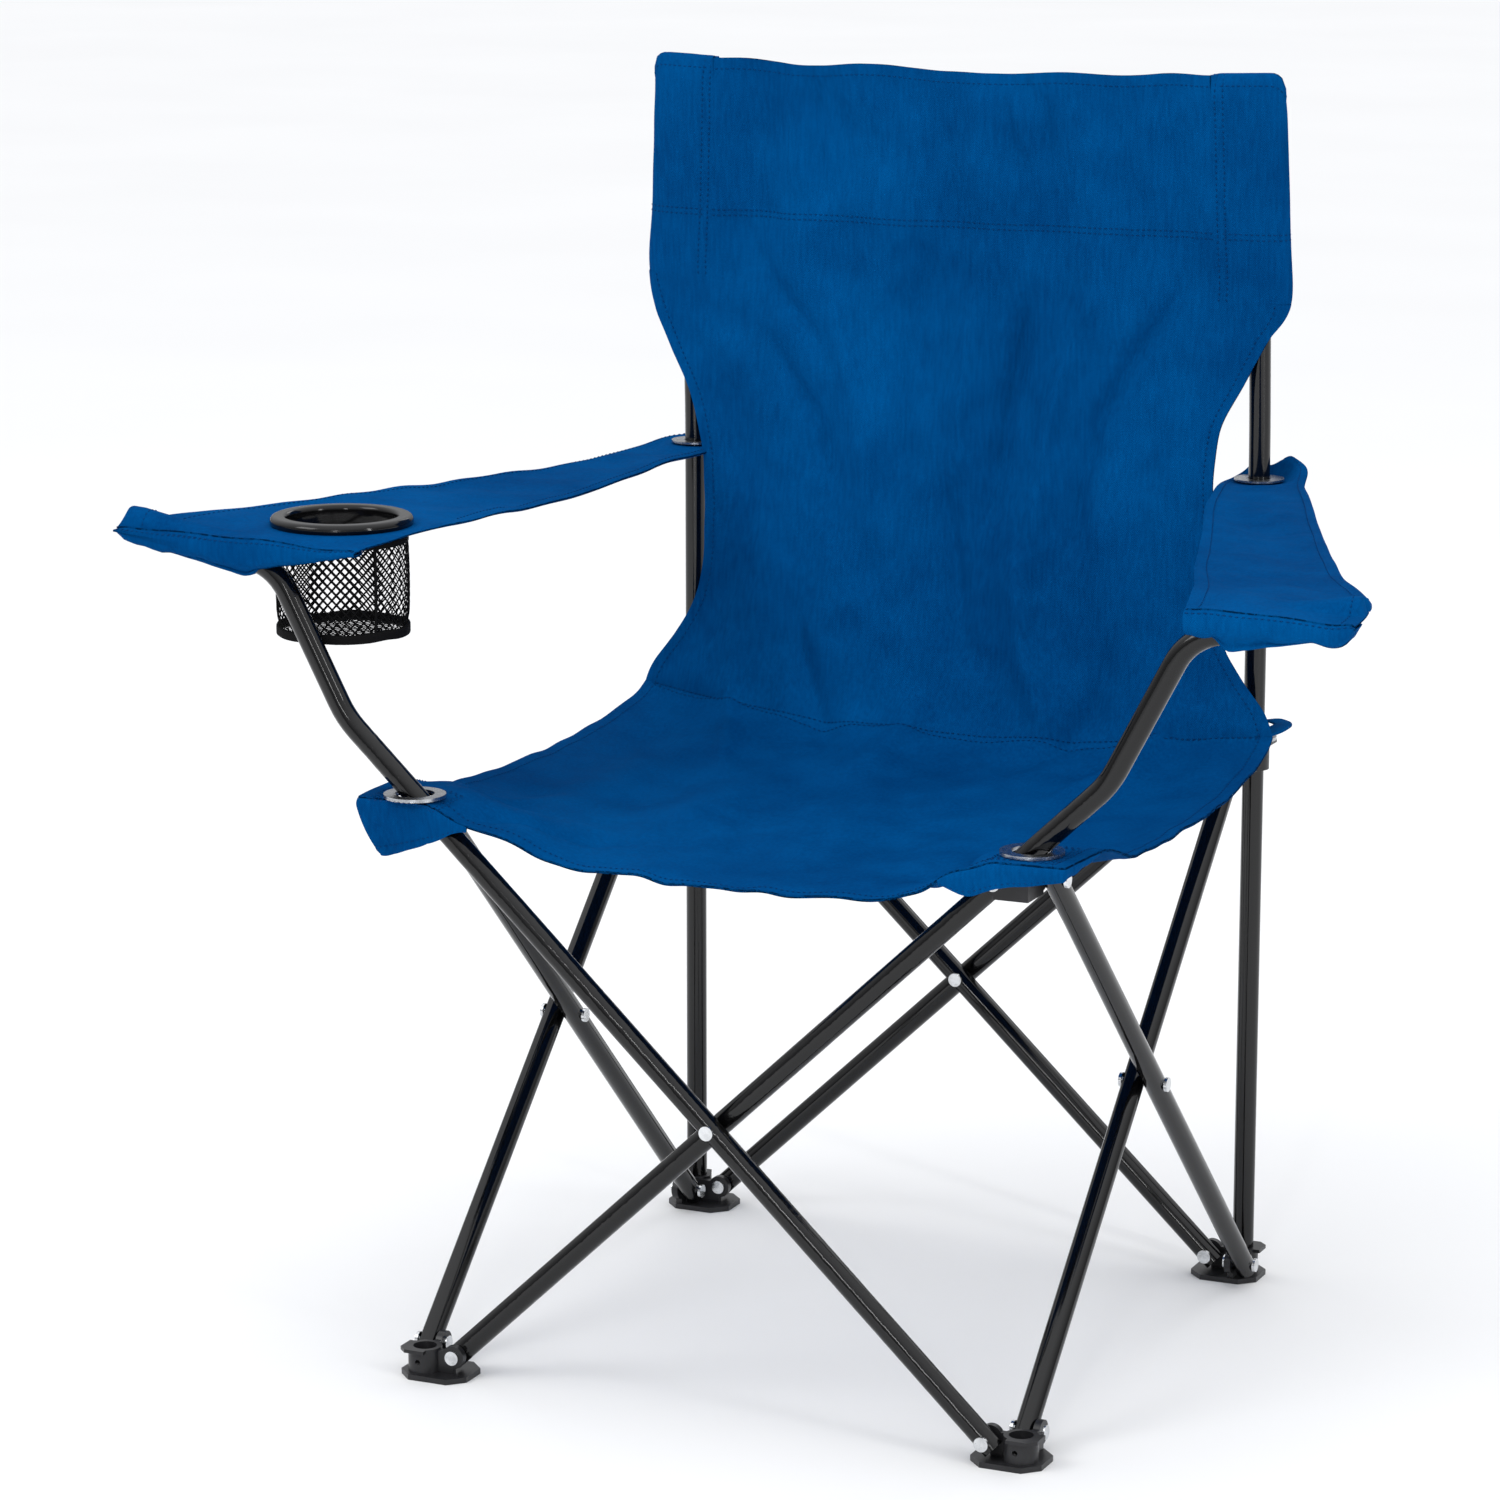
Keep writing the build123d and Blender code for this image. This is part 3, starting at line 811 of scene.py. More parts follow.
PANEL_FOLDS = (
    Fold((0.055, 0.16), (0.030, 0.36), 0.016, 0.0065),
    Fold((0.015, 0.14), (-0.002, 0.30), 0.012, -0.0050),
    Fold((0.100, 0.18), (0.075, 0.40), 0.014, -0.0050),
    Fold((-0.050, 0.13), (-0.060, 0.33), 0.015, 0.0040),
    Fold((-0.105, 0.16), (-0.085, 0.36), 0.014, -0.0036),
    Fold((0.150, 0.20), (0.110, 0.37), 0.013, 0.0040),
    Fold((-0.160, 0.21), (-0.110, 0.34), 0.012, 0.0034),
    Fold((-0.015, 0.30), (0.020, 0.46), 0.015, 0.0040),
    Fold((0.060, 0.34), (0.085, 0.50), 0.015, -0.0042),
    Fold((-0.150, 0.42), (-0.060, 0.55), 0.013, 0.0036),
    Fold((0.165, 0.41), (0.075, 0.55), 0.013, 0.0038),
    Fold((-0.190, 0.46), (-0.120, 0.62), 0.011, -0.0034),
    Fold((0.190, 0.46), (0.130, 0.62), 0.011, -0.0034),
    Fold((-0.02, 0.47), (-0.03, 0.60), 0.018, -0.0040),
    Fold((-0.140, 0.010), (-0.132, 0.10), 0.008, -0.0030),
    Fold((-0.118, 0.010), (-0.112, 0.11), 0.008, 0.0028),
    Fold((0.045, 0.015), (0.056, 0.07), 0.007, -0.0026),
    Fold((0.070, 0.012), (0.068, 0.08), 0.007, 0.0024),
    Fold((0.150, 0.010), (0.142, 0.09), 0.008, -0.0026),
    Fold((-0.040, 0.030), (-0.030, 0.11), 0.010, -0.0022),
    Fold((-0.170, 0.130), (-0.115, 0.22), 0.010, 0.0030),
    Fold((-0.030, 0.130), (-0.038, 0.24), 0.010, 0.0030),
    Fold((0.110, 0.125), (0.100, 0.20), 0.009, -0.0026),
    Fold((0.180, 0.130), (0.140, 0.24), 0.010, 0.0030),
    Fold((-0.10, 0.012), (-0.09, 0.10), 0.012, 0.0026),
    Fold((0.02, 0.010), (0.01, 0.11), 0.012, -0.0026),
    Fold((0.12, 0.012), (0.13, 0.11), 0.011, 0.0024),
    Fold((-0.235, 0.92), (-0.10, 0.80), 0.011, 0.0036),
    Fold((-0.220, 0.96), (-0.06, 0.91), 0.009, 0.0032),
    Fold((0.235, 0.92), (0.10, 0.80), 0.011, 0.0036),
    Fold((0.220, 0.96), (0.06, 0.91), 0.009, 0.0032),
    Fold((-0.245, 0.88), (-0.19, 0.74), 0.010, -0.0028),
    Fold((0.245, 0.88), (0.19, 0.74), 0.010, -0.0028),
)


@dataclass
class Hammock:
    """The sewn back and seat: one length of cloth, drawn in four pieces and two pole sleeves.

    Sizes are metres. The rows run from the top hem of the back down to the front hem of the seat.
    """

    finishes: dict[Surface, bpy.types.Material]
    thickness: float = 0.0011
    hem: float = 0.0085
    hem_extra: float = 0.0010
    rows_back: int = 190
    rows_seat: int = 150
    columns: int = 169
    sleeve_share: float = 0.79
    sleeve_end: float = 0.746
    split: float = 0.640
    seat_split: float = -0.012
    half_cut: float = 0.255
    double_seam: tuple[float, float] = (0.1115, 0.1175)
    seam_middle: float = 0.1145
    fold_gain: float = 2.1
    corner_start: float = 0.190
    corner_reach: float = 0.0615
    pole_y: float = 0.232
    bend_z: float = 0.640
    lean: float = 0.015 / 0.265
    eyelet_hole: float = 0.0155
    corner_level: float = 0.4258
    patch_half: float = 0.0255
    top_round: float = 0.011

    def __post_init__(self) -> None:
        """Works out the whole surface before any piece is cut from it."""
        self.back = self.surface(BACK_STATIONS, self.rows_back)
        self.seat = self.surface(SEAT_STATIONS, self.rows_seat)
        self.shape_sleeves()
        self.lift_corners()
        back_walk = arc_lengths(self.back, 0)[:, self.columns // 2]
        seat_walk = arc_lengths(self.seat, 0)[:, self.columns // 2]
        across = np.linspace(-self.half_cut, self.half_cut, self.columns)
        self.flat_back = np.stack(np.broadcast_arrays(across[None, :], back_walk[:, None]), axis=2)
        self.flat_seat = np.stack(
            np.broadcast_arrays(across[None, :], (seat_walk + back_walk[-1])[:, None]), axis=2
        )
        self.wrinkle()
        whole = np.concatenate([self.back, self.seat[1:]])
        normals = grid_normals(whole)
        self.back_normals = normals[: self.rows_back]
        self.seat_normals = normals[self.rows_back - 1 :]

    def surface(self, stations: tuple[Station, ...], rows: int) -> np.ndarray:
        """The smooth surface through a run of stations.

        Args:
            stations: the lines across.
            rows: rows of the grid.

        Returns:
            Grid points in metres.
        """
        u = np.linspace(-1, 1, self.columns)
        lines = []
        for s in stations:
            left, right = np.array(s.left, float), np.array(s.right, float)
            edge = np.where(u[:, None] < 0, left, right)
            share = np.abs(u)[:, None] ** s.power
            middle = np.array([0.0, *s.middle])
            line = middle + (edge - middle) * share
            line[:, 0] = np.where(u < 0, -u * left[0], u * right[0])
            lines.append(line * MM)
        return catmull(np.array(lines), np.linspace(0, len(stations) - 1, rows))

    def pole_at(self, z: np.ndarray) -> np.ndarray:
        """How far back the pole's axis is at a height."""
        return self.pole_y - np.maximum(0.0, z - self.bend_z) * self.lean

    def shape_sleeves(self) -> None:
        """Bends the outer cloth of the back round the front of the poles above the sleeves' end."""
        x, y, z = (self.back[..., k] for k in range(3))
        reach = np.abs(x) / np.where(x < 0, np.abs(x[:, :1]), x[:, -1:])
        s = np.clip((reach - self.sleeve_share) / (1 - self.sleeve_share), 0, 1)
        past = np.clip((s - 0.46) / 0.54, 0, 1)
        front = np.where(s < 0.46, 0.0125 - 0.0010 * smooth_step(s, 0.0, 0.46), 0.0115 * np.sqrt(1 - past**2))
        wrapped = self.pole_at(z) - front
        inside = smooth_step(reach, self.sleeve_share - 0.16, self.sleeve_share)
        weight = smooth_step(z, self.sleeve_end - 0.034, self.sleeve_end + 0.004) * inside
        self.back[..., 1] = y + (wrapped - y) * weight

    def lift_corners(self) -> None:
        """Raises the seat's front corners flat under their eyelets, and draws their hem forward."""
        x, y, z = (self.seat[..., k] for k in range(3))
        across = np.clip((np.abs(x) - 0.080) / 0.132, 0.0, 1.0)
        weight = across**2 * (1.5 - 0.5 * across) * smooth_step(-y, 0.120, 0.200)
        self.seat[..., 2] = z + (self.corner_level - z) * weight
        start = self.corner_start
        forward = smooth_step(np.abs(x), 0.120, 0.185) * smooth_step(-y, start, 0.225)
        reach = (-y - start) / np.maximum(-y[-1:] - start, 1e-6)
        self.seat[..., 1] = y + (-start - self.corner_reach * np.clip(reach, 0, 1) - y) * forward
        self.corner = smooth_step(np.abs(x), 0.165, 0.205) * smooth_step(-y, 0.150, 0.196)

    def wrinkle(self) -> None:
        """Moves the cloth along its own normals by its folds and puckers."""
        for grid, flat in ((self.back, self.flat_back), (self.seat, self.flat_seat)):
            a, b = flat[..., 0], flat[..., 1]
            lift = self.fold_gain * sum(f.lift(a, b) for f in PANEL_FOLDS)
            lift = lift + Ripple(3, 0.085, 0.0019, (1.0, 2.4)).lift(a, b)
            lift = lift + Ripple(5, 0.032, 0.00055, (1.0, 1.6)).lift(a, b)
            seam = np.exp(-(((b - self.seam_middle) / 0.012) ** 2))
            lift = lift + seam * Ripple(13, 0.024, 0.0006, (1.0, 4.0), 10).lift(a, b)
            rim = self.half_cut - np.abs(a)
            near = np.exp(-((rim / 0.022) ** 2))
            pucker = Ripple(9, 0.034, 0.00045, (3.0, 1.0), 10).lift(a, b)
            calm = smooth_step(rim, 0.0, 0.05)
            in_sleeve = smooth_step(grid[..., 2], 0.69, 0.74) * smooth_step(np.abs(a), 0.185, 0.205)
            lift = (lift * (0.25 + 0.75 * calm) + pucker * near) * (1.0 - 0.8 * in_sleeve)
            if grid is self.seat:
                lift = lift * (1.0 - 0.85 * self.corner)
            normals = grid_normals(grid)
            grid += normals * lift[..., None]
        self.seat[0] = self.back[-1]
        hem = np.exp(-(((self.flat_seat[-1, 0, 1] - self.flat_seat[..., 1]) / 0.03) ** 2))
        wave = Ripple(21, 0.055, 0.0008, (1.0, 3.0), 8).lift(self.flat_seat[..., 0], self.flat_seat[..., 1])
        self.seat[..., 2] += hem * wave * (1.0 - self.corner)
        x = self.back[..., 0]
        past = np.maximum(np.where(x < 0, x[:, :1] - x, x - x[:, -1:]) + self.top_round, 0.0)
        drop = self.top_round - np.sqrt(np.maximum(self.top_round**2 - past**2, 0.0))
        self.back[..., 2] -= drop * np.exp(-((self.flat_back[..., 1] / 0.02) ** 2))
        top = np.exp(-((self.flat_back[..., 1] / 0.03) ** 2))
        wave = Ripple(23, 0.075, 0.0009, (1.0, 3.0), 8).lift(self.flat_back[..., 0], self.flat_back[..., 1])
        self.back[..., 2] += top * wave * smooth_step(0.21 - np.abs(self.flat_back[..., 0]), 0.0, 0.03)

    def thickness_at(
        self, flat: np.ndarray, sides: bool, first: float | None, last: float | None
    ) -> np.ndarray:
        """Cloth thickness, with its doubled hems.

        Args:
            flat: flat coordinates of a grid.
            sides: whether its two sides are hemmed.
            first: flat row coordinate of a hemmed first row.
            last: flat row coordinate of a hemmed last row.

        Returns:
            Thickness at each point.
        """
        a, b = flat[..., 0], flat[..., 1]
        extra = np.zeros_like(a)
        rims = [self.half_cut - np.abs(a)] if sides else []
        if first is not None:
            rims.append(b - first)
        if last is not None:
            rims.append(last - b)
        for rim in rims:
            extra = np.maximum(extra, self.hemmed(rim))
        return self.thickness + self.hem_extra * extra

    def hemmed(self, rim: np.ndarray) -> np.ndarray:
        """1 within a hem's width of a cut edge, 0 further in."""
        return 1.0 - smooth_step(rim, self.hem * 0.8, self.hem * 1.15)

    def stitch_line(
        self,
        piece: Piece,
        grid: np.ndarray,
        normals: np.ndarray,
        row: slice | int,
        column: slice | int,
        side: float = -1.0,
    ) -> None:
        """Sews along a row or a column of a grid, on the face that looks forward.

        Args:
            piece: the mesh to add to.
            grid: the cloth's middle surface.
            normals: its normals.
            row: row number, or a slice of rows.
            column: column number, or a slice of columns.
            side: which face is sewn.
        """
        path = grid[row, column] + side * normals[row, column] * (self.thickness / 2 + 0.00045)
        add_stitches(piece, path, side * normals[row, column])

    def inset(self) -> int:
        """Columns between a side edge and its hem's stitches."""
        return round(self.hem / (2 * self.half_cut) * (self.columns - 1))

    def row_near(self, height: float) -> int:
        """The back's row whose left edge is at a height."""
        return int(np.argmin(np.abs(self.back[:, 0, 2] - height)))

    def make_back(self) -> list[bpy.types.Object]:
        """Builds the back above and below the arm height, and its sleeves."""
        end = self.row_near(self.sleeve_end)
        cut = self.row_near(self.split)
        stitch = round((1 - self.sleeve_share) / 2 * (self.columns - 1))
        right = self.columns - 1 - stitch
        upper = Piece()
        thick_all = self.thickness_at(self.flat_back, True, self.flat_back[0, 0, 1], None)
        middle = (slice(0, end + 1), slice(stitch, right + 1))
        thick_middle = self.thickness_at(self.flat_back, False, self.flat_back[0, 0, 1], None)
        lower = (slice(end, cut + 1), slice(0, self.columns))
        for part, thick in ((middle, thick_middle), (lower, thick_all)):
            add_cloth(upper, self.back[part], self.back_normals[part], thick[part], self.flat_back[part])
        for depth in (self.hem, *self.double_seam):
            row = int(np.argmin(np.abs(self.flat_back[:, 0, 1] - depth)))
            for side in (-1.0, 1.0):
                self.stitch_line(upper, self.back, self.back_normals, row, slice(stitch, right + 1), side)
        inset = self.inset()
        for c in (inset, self.columns - 1 - inset):
            self.stitch_line(upper, self.back, self.back_normals, slice(end, cut + 1), c)
        out = [self.finish(upper, "back_cloth_upper", "rear_left_stand", "back_panel_upper")]
        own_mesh(out[0])

        low = Piece()
        part = (slice(cut, self.rows_back), slice(0, self.columns))
        add_cloth(low, self.back[part], self.back_normals[part], thick_all[part], self.flat_back[part])
        for c in (inset, self.columns - 1 - inset):
            self.stitch_line(low, self.back, self.back_normals, slice(cut, self.rows_back), c)
        self.stitch_line(
            low, self.back, self.back_normals, self.rows_back - 3, slice(inset, self.columns - inset)
        )
        out.append(self.finish(low, "back_cloth_lower", "back_lower", "back_panel_lower"))
        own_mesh(out[1])
        out.append(self.make_sleeve("left", end, stitch))
        out.append(self.make_sleeve("right", end, stitch))
        return out

    def make_sleeve(self, name: str, end: int, stitch: int) -> bpy.types.Object:
        """Builds one pole sleeve: front layer, outer fold and back layer.

        Args:
            name: left or right.
            end: the back's last row in the sleeve.
            stitch: column of the sleeve's seam.

        Returns:
            The piece.
        """
        left = name == "left"
        columns = slice(0, stitch + 1) if left else slice(self.columns - 1 - stitch, self.columns)
        grid = self.back[: end + 1, columns]
        normals = self.back_normals[: end + 1, columns]
        flat = self.flat_back[: end + 1, columns]
        if not left:
            grid, normals, flat = grid[:, ::-1], -normals[:, ::-1], flat[:, ::-1]
        piece = Piece()
        steps = grid.shape[1]
        share = np.linspace(1, 0, steps)
        pole = self.pole_at(grid[..., 2])
        past = np.clip((share - 0.46) / 0.54, 0, 1)
        turned = 0.0115 * np.sqrt(1 - past**2)
        behind = np.where(share < 0.46, -0.0112 + 0.0227 * smooth_step(share, 0.05, 0.46), turned)
        rear = grid.copy()
        rear[..., 1] = pole + behind[None, :]
        ease = np.minimum(1.0, arc_lengths(grid, 0)[:, :1] / 0.012) ** 0.5
        pinch = 0.25 + 0.75 * ease
        centre = pole - 0.0005
        front = grid.copy()
        front[..., 1] = centre + (grid[..., 1] - centre) * np.where(share[None, :] > 0.02, pinch, 1.0)
        rear[..., 1] = centre + (rear[..., 1] - centre) * pinch
        loop = np.concatenate([front[:, ::-1], rear[:, 1:]], axis=1)
        loop_flat = np.concatenate([flat[:, ::-1], flat[:, 1:] + 0.06], axis=1)
        own = grid_normals(loop)
        order = slice(None, None, -1)
        if own[5, 2, 1] > 0:
            own, order = -own, slice(None)
        thick = self.thickness + self.hem_extra * self.hemmed(loop_flat[..., 1])
        add_cloth(piece, *(part[:, order] for part in (loop, own, thick, loop_flat)))
        lines = [(slice(None), offset) for offset in (1, 3, -2)]
        for depth in (self.hem, *self.double_seam):
            row = int(np.argmin(np.abs(flat[:, 0, 1] - depth)))
            lines.append((row, slice(2, steps * 2 - 3)))
        for line in lines:
            add_stitches(piece, loop[line] + own[line] * (self.thickness / 2 + 0.0004), own[line])
        body = "rear_left_stand" if left else "rear_right_stand"
        return self.finish(piece, f"pole_sleeve_{name}", body, f"back_sleeve_{name}")

    def make_seat(self) -> list[bpy.types.Object]:
        """Builds the rear and front halves of the seat."""
        middle = self.columns // 2
        cut = int(np.argmin(np.abs(self.seat[:, middle, 1] - self.seat_split)))
        last = float(self.flat_seat[-1, 0, 1])
        thick = self.thickness_at(self.flat_seat, True, None, last)
        inset = self.inset()
        out = []
        for name, rows, node in (
            ("seat_cloth_rear", slice(0, cut + 1), "seat_rear"),
            ("seat_cloth_front", slice(cut, self.rows_seat), "seat_front"),
        ):
            piece = Piece()
            part = (rows, slice(0, self.columns))
            add_cloth(piece, self.seat[part], self.seat_normals[part], thick[part], self.flat_seat[part])
            if name.endswith("front"):
                for centre in self.eyelets():
                    piece = cut_hole(piece, centre, self.eyelet_hole)
                for centre in self.eyelets():
                    self.stitch_square(piece, centre)
            for c in (inset, self.columns - 1 - inset):
                self.stitch_line(piece, self.seat, self.seat_normals, rows, c, self.up())
            if name.endswith("rear"):
                self.stitch_line(
                    piece, self.seat, self.seat_normals, 3, slice(inset, self.columns - inset), self.up()
                )
            else:
                hem_row = int(np.argmin(np.abs(last - self.hem - self.flat_seat[:, 0, 1])))
                self.stitch_line(
                    piece,
                    self.seat,
                    self.seat_normals,
                    hem_row,
                    slice(inset, self.columns - inset),
                    self.up(),
                )
            obj = self.finish(piece, name, node, node)
            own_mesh(obj)
            out.append(obj)
        return out

    def eyelets(self) -> list[tuple[float, float]]:
        """Where the arm tubes come up through the seat's front corners."""
        out = []
        for name in ("seat_eyelet_front_left", "seat_eyelet_front_right"):
            low, high = node_box(name)
            out.append((float(low[0] + high[0]) / 2, float(low[1] + high[1]) / 2))
        return out

    def stitch_square(self, piece: Piece, centre: tuple[float, float]) -> None:
        """Sews the square patch round an eyelet, in two rows.

        Args:
            piece: the mesh to add to.
            centre: middle of the eyelet in plan.
        """
        for half in (self.patch_half, self.patch_half - 0.003):
            near = -half * 0.9
            corners = [(-half, near), (half, near), (half, half), (-half, half), (-half, near)]
            for (x0, y0), (x1, y1) in zip(corners, corners[1:]):
                t = np.linspace(0, 1, 20)[:, None]
                plan = np.array(centre) + np.array([x0, y0]) * (1 - t) + np.array([x1, y1]) * t
                gaps = np.linalg.norm(self.seat[None, :, :, :2] - plan[:, None, None, :], axis=3)
                gaps = gaps.reshape(20, -1)
                nearest = np.argmin(gaps, axis=1)
                level = self.seat.reshape(-1, 3)[nearest, 2] + 0.0012
                normals = np.tile([0.0, 0.0, 1.0], (20, 1))
                add_stitches(piece, np.column_stack([plan, level]), normals)

    def up(self) -> float:
        """Sign that turns the seat's grid normals upward."""
        return 1.0 if self.seat_normals[self.rows_seat // 2, self.columns // 2, 2] > 0 else -1.0

    def finish(self, piece: Piece, name: str, body: str, node: str) -> bpy.types.Object:
        """Makes a cloth piece of the back or seat, see finish_cloth."""
        return finish_cloth(piece, self.finishes, name, body, node)


# ---- armrests ------------------------------------------------------------------------------------


class Side(Enum):
    """The chair's two sides, as seen from its front."""

    LEFT = "left"
    RIGHT = "right"


@dataclass(frozen=True)
class ArmLine:
    """One line across an armrest: its inner and outer edge, in mm."""

    inner: tuple[float, float, float]
    outer: tuple[float, float, float]


RIGHT_LINES = (
    ArmLine((216, 257, 623), (247, 260, 626)),
    ArmLine((207, 240, 615), (262, 246, 621)),
    ArmLine((206, 212, 611), (270, 216, 613)),
    ArmLine((217, 160, 611), (292, 164, 611)),
    ArmLine((233, 100, 610), (317, 100, 609)),
    ArmLine((258, 25, 609), (347, 25, 609)),
    ArmLine((283, -55, 608), (380, -55, 609)),
    ArmLine((303, -120, 608), (409, -120, 609)),
    ArmLine((325, -182, 609), (446, -182, 608)),
    ArmLine((338, -225, 612), (458, -225, 607)),
    ArmLine((346, -260, 608), (460, -258, 605)),
)
LEFT_LINES = (
    ArmLine((-214, 256, 612), (-246, 259, 613)),
    ArmLine((-206, 240, 611), (-262, 243, 611)),
    ArmLine((-206, 212, 610), (-271, 214, 608)),
    ArmLine((-217, 150, 608), (-292, 152, 603)),
    ArmLine((-223, 97, 604), (-312, 97, 603)),
    ArmLine((-232, 10, 601), (-342, 10, 604)),
    ArmLine((-240, -65, 602), (-371, -65, 606)),
    ArmLine((-245, -120, 603), (-393, -120, 606)),
    ArmLine((-252, -182, 604), (-432, -182, 606)),
    ArmLine((-256, -228, 603), (-456, -230, 605)),
    ArmLine((-262, -257, 600), (-457, -252, 604)),
)


RIGHT_POCKET = (
    ((346, 15.0), (360, 17.0), (390, 16.0), (420, 14.0), (440, 12.5), (452, 10.5), (457, 7.0), (460, 2.0)),
    ((346, 58), (440, 50), (460, 12)),
)
LEFT_POCKET = (
    (
        (262, 2.5),
        (290, 6.5),
        (323, 15.0),
        (351, 21.0),
        (370, 18.5),
        (391, 15.5),
        (430, 12.0),
        (450, 9.0),
        (459, 2.0),
    ),
    ((262, 10), (300, 22), (340, 46), (440, 50), (459, 12)),
)


@dataclass
class Armrest:
    """One armrest: the doubled strap, its front pocket round the arm tube, and the cup cloth.

    Sizes are metres.
    """

    side: Side
    finishes: dict[Surface, bpy.types.Material]
    thickness: float = 0.0026
    band: float = 0.0075
    rows: int = 150
    columns: int = 49
    cup_column: int = 35
    pocket_y: float = -0.182
    cup_y: float = -0.120
    cup_edge: float = -0.367
    cup_centre: tuple[float, float] = (-0.315, -0.180)
    cup_level: float = 0.6042
    hole: float = 0.0440
    grommet_level: float = 0.6100

    def __post_init__(self) -> None:
        """Works out the top surface."""
        self.sign = 1.0 if self.side is Side.RIGHT else -1.0
        lines = RIGHT_LINES if self.side is Side.RIGHT else LEFT_LINES
        inner = np.array([line.inner for line in lines], float) * MM
        outer = np.array([line.outer for line in lines], float) * MM
        at = np.linspace(0, len(lines) - 1, self.rows)
        self.inner = catmull(inner, at)
        self.outer = catmull(outer, at)
        share = np.linspace(0, 1, self.columns)
        bend = share[None, :].repeat(self.rows, 0)
        if self.side is Side.LEFT:
            y = self.inner[:, 1]
            full = (self.cup_edge - self.inner[:, 0]) / (self.outer[:, 0] - self.inner[:, 0])
            knee = self.cup_column / (self.columns - 1)
            weight = 1.0 - smooth_step(y, self.cup_y + 0.001, self.cup_y + 0.09)
            at_knee = knee + (full - knee) * weight
            low = bend / knee * at_knee[:, None]
            high = at_knee[:, None] + (bend - knee) / (1 - knee) * (1 - at_knee[:, None])
            bend = np.where(bend <= knee, low, high)
        grid = self.inner[:, None] + (self.outer - self.inner)[:, None] * bend[..., None]
        walk = arc_lengths(grid, 0)[:, self.columns // 2]
        width = np.linalg.norm(self.outer - self.inner, axis=1)
        self.flat = np.stack([bend * width[:, None], np.broadcast_to(walk[:, None], bend.shape)], axis=2)
        self.rim = np.minimum(self.flat[..., 0], width[:, None] - self.flat[..., 0])
        self.ends = np.minimum(walk, walk[-1] - walk)[:, None]
        self.grid = self.level(grid, bend)
        self.normals = grid_normals(self.grid)
        if self.normals[self.rows // 2, 5, 2] < 0:
            self.normals = -self.normals

    def level(self, grid: np.ndarray, bend: np.ndarray) -> np.ndarray:
        """Adds sag, wrinkles, the tube under the pocket and the flat round the cup ring.

        Args:
            grid: the ruled surface between the two edges.
            bend: share across, from the inner edge.

        Returns:
            The shaped surface.
        """
        out = grid.copy()
        a, b = self.flat[..., 0], self.flat[..., 1]
        sag = np.sin(math.pi * np.clip(bend, 0, 1))
        length = b[-1, 0]
        out[..., 2] -= 0.0028 * sag * np.sin(math.pi * b / length)
        seed = 31 if self.side is Side.RIGHT else 41
        across = Ripple(seed, 0.022, 0.00026, (3.2, 1.0), 12).lift(a, b)
        soft = Ripple(seed + 1, 0.070, 0.0009, (1.0, 1.0), 12).lift(a, b)
        inside = smooth_step(self.rim, 0.0, 0.018)
        hem = Ripple(seed + 2, 0.060, 0.0004, (3.0, 1.0), 8).lift(a, b)
        hem = hem * (1 - smooth_step(self.rim, 0.0, 0.02))
        lift = (across + soft) * inside + hem
        tube_y = -0.2218 if self.side is Side.RIGHT else -0.238
        x, y = np.abs(out[..., 0]), out[..., 1]
        axis_z = 0.582 + (np.clip(x, 0.3, 0.447) - 0.336) / 0.111 * 0.024
        away = np.clip(1 - ((y - tube_y) / 0.0115) ** 2, 0, None)
        crown = axis_z + 0.0105 - 0.012 * (1 - np.sqrt(away))
        over = np.where(away > 0, crown, 0.0) * (x < 0.4545)
        out[..., 2] += lift
        if self.side is Side.LEFT:
            gone = np.hypot(out[..., 0] - self.cup_centre[0], y - self.cup_centre[1])
            flat = 1.0 - smooth_step(gone, 0.053, 0.082)
            out[..., 2] += (self.cup_level - out[..., 2]) * flat
            over = np.where(gone < 0.058, 0.0, over)
        gone = np.hypot(out[..., 0] - 0.2295 * self.sign, y - 0.232)
        out[..., 2] += (self.grommet_level - out[..., 2]) * (1.0 - smooth_step(gone, 0.0185, 0.031))
        soft_over = 0.004
        rise = over - out[..., 2]
        lifted = soft_over * np.log1p(np.exp(np.clip(rise / soft_over, -8, 8)))
        out[..., 2] += np.where(rise > -3 * soft_over, lifted, 0.0)
        return out

    def thick(self) -> np.ndarray:
        """Thickness of the strap, with its stitched side bands."""
        edge = 1.0 - smooth_step(np.minimum(self.rim, self.ends), self.band * 0.85, self.band * 1.15)
        groove = bump(self.rim, self.band * 1.05, 0.0011) * 0.0007
        full = self.thickness + 0.0009 * edge - groove
        round_off = np.sqrt(np.clip(self.rim / 0.0022, 0.12, 1.0))
        return full * round_off

    def seams(self, piece: Piece, rows: slice, skip_cup: bool) -> None:
        """Sews the two side bands on the top.

        Args:
            piece: the mesh to add to.
            rows: rows of this piece.
            skip_cup: whether only the outer band is on it.
        """
        thick = self.thick()
        columns = [int(np.argmin(np.abs(self.rim[self.rows // 2, : self.columns // 2] - self.band)))]
        columns.append(self.columns - 1 - columns[0])
        for c in columns[1 if skip_cup else 0 :]:
            path = self.grid[rows, c] + self.normals[rows, c] * (thick[rows, c, None] / 2 + 0.0002)
            add_stitches(piece, path, self.normals[rows, c])

    def row_at(self, y: float) -> int:
        """The row whose inner edge is nearest to y."""
        return int(np.argmin(np.abs(self.inner[:, 1] - y)))

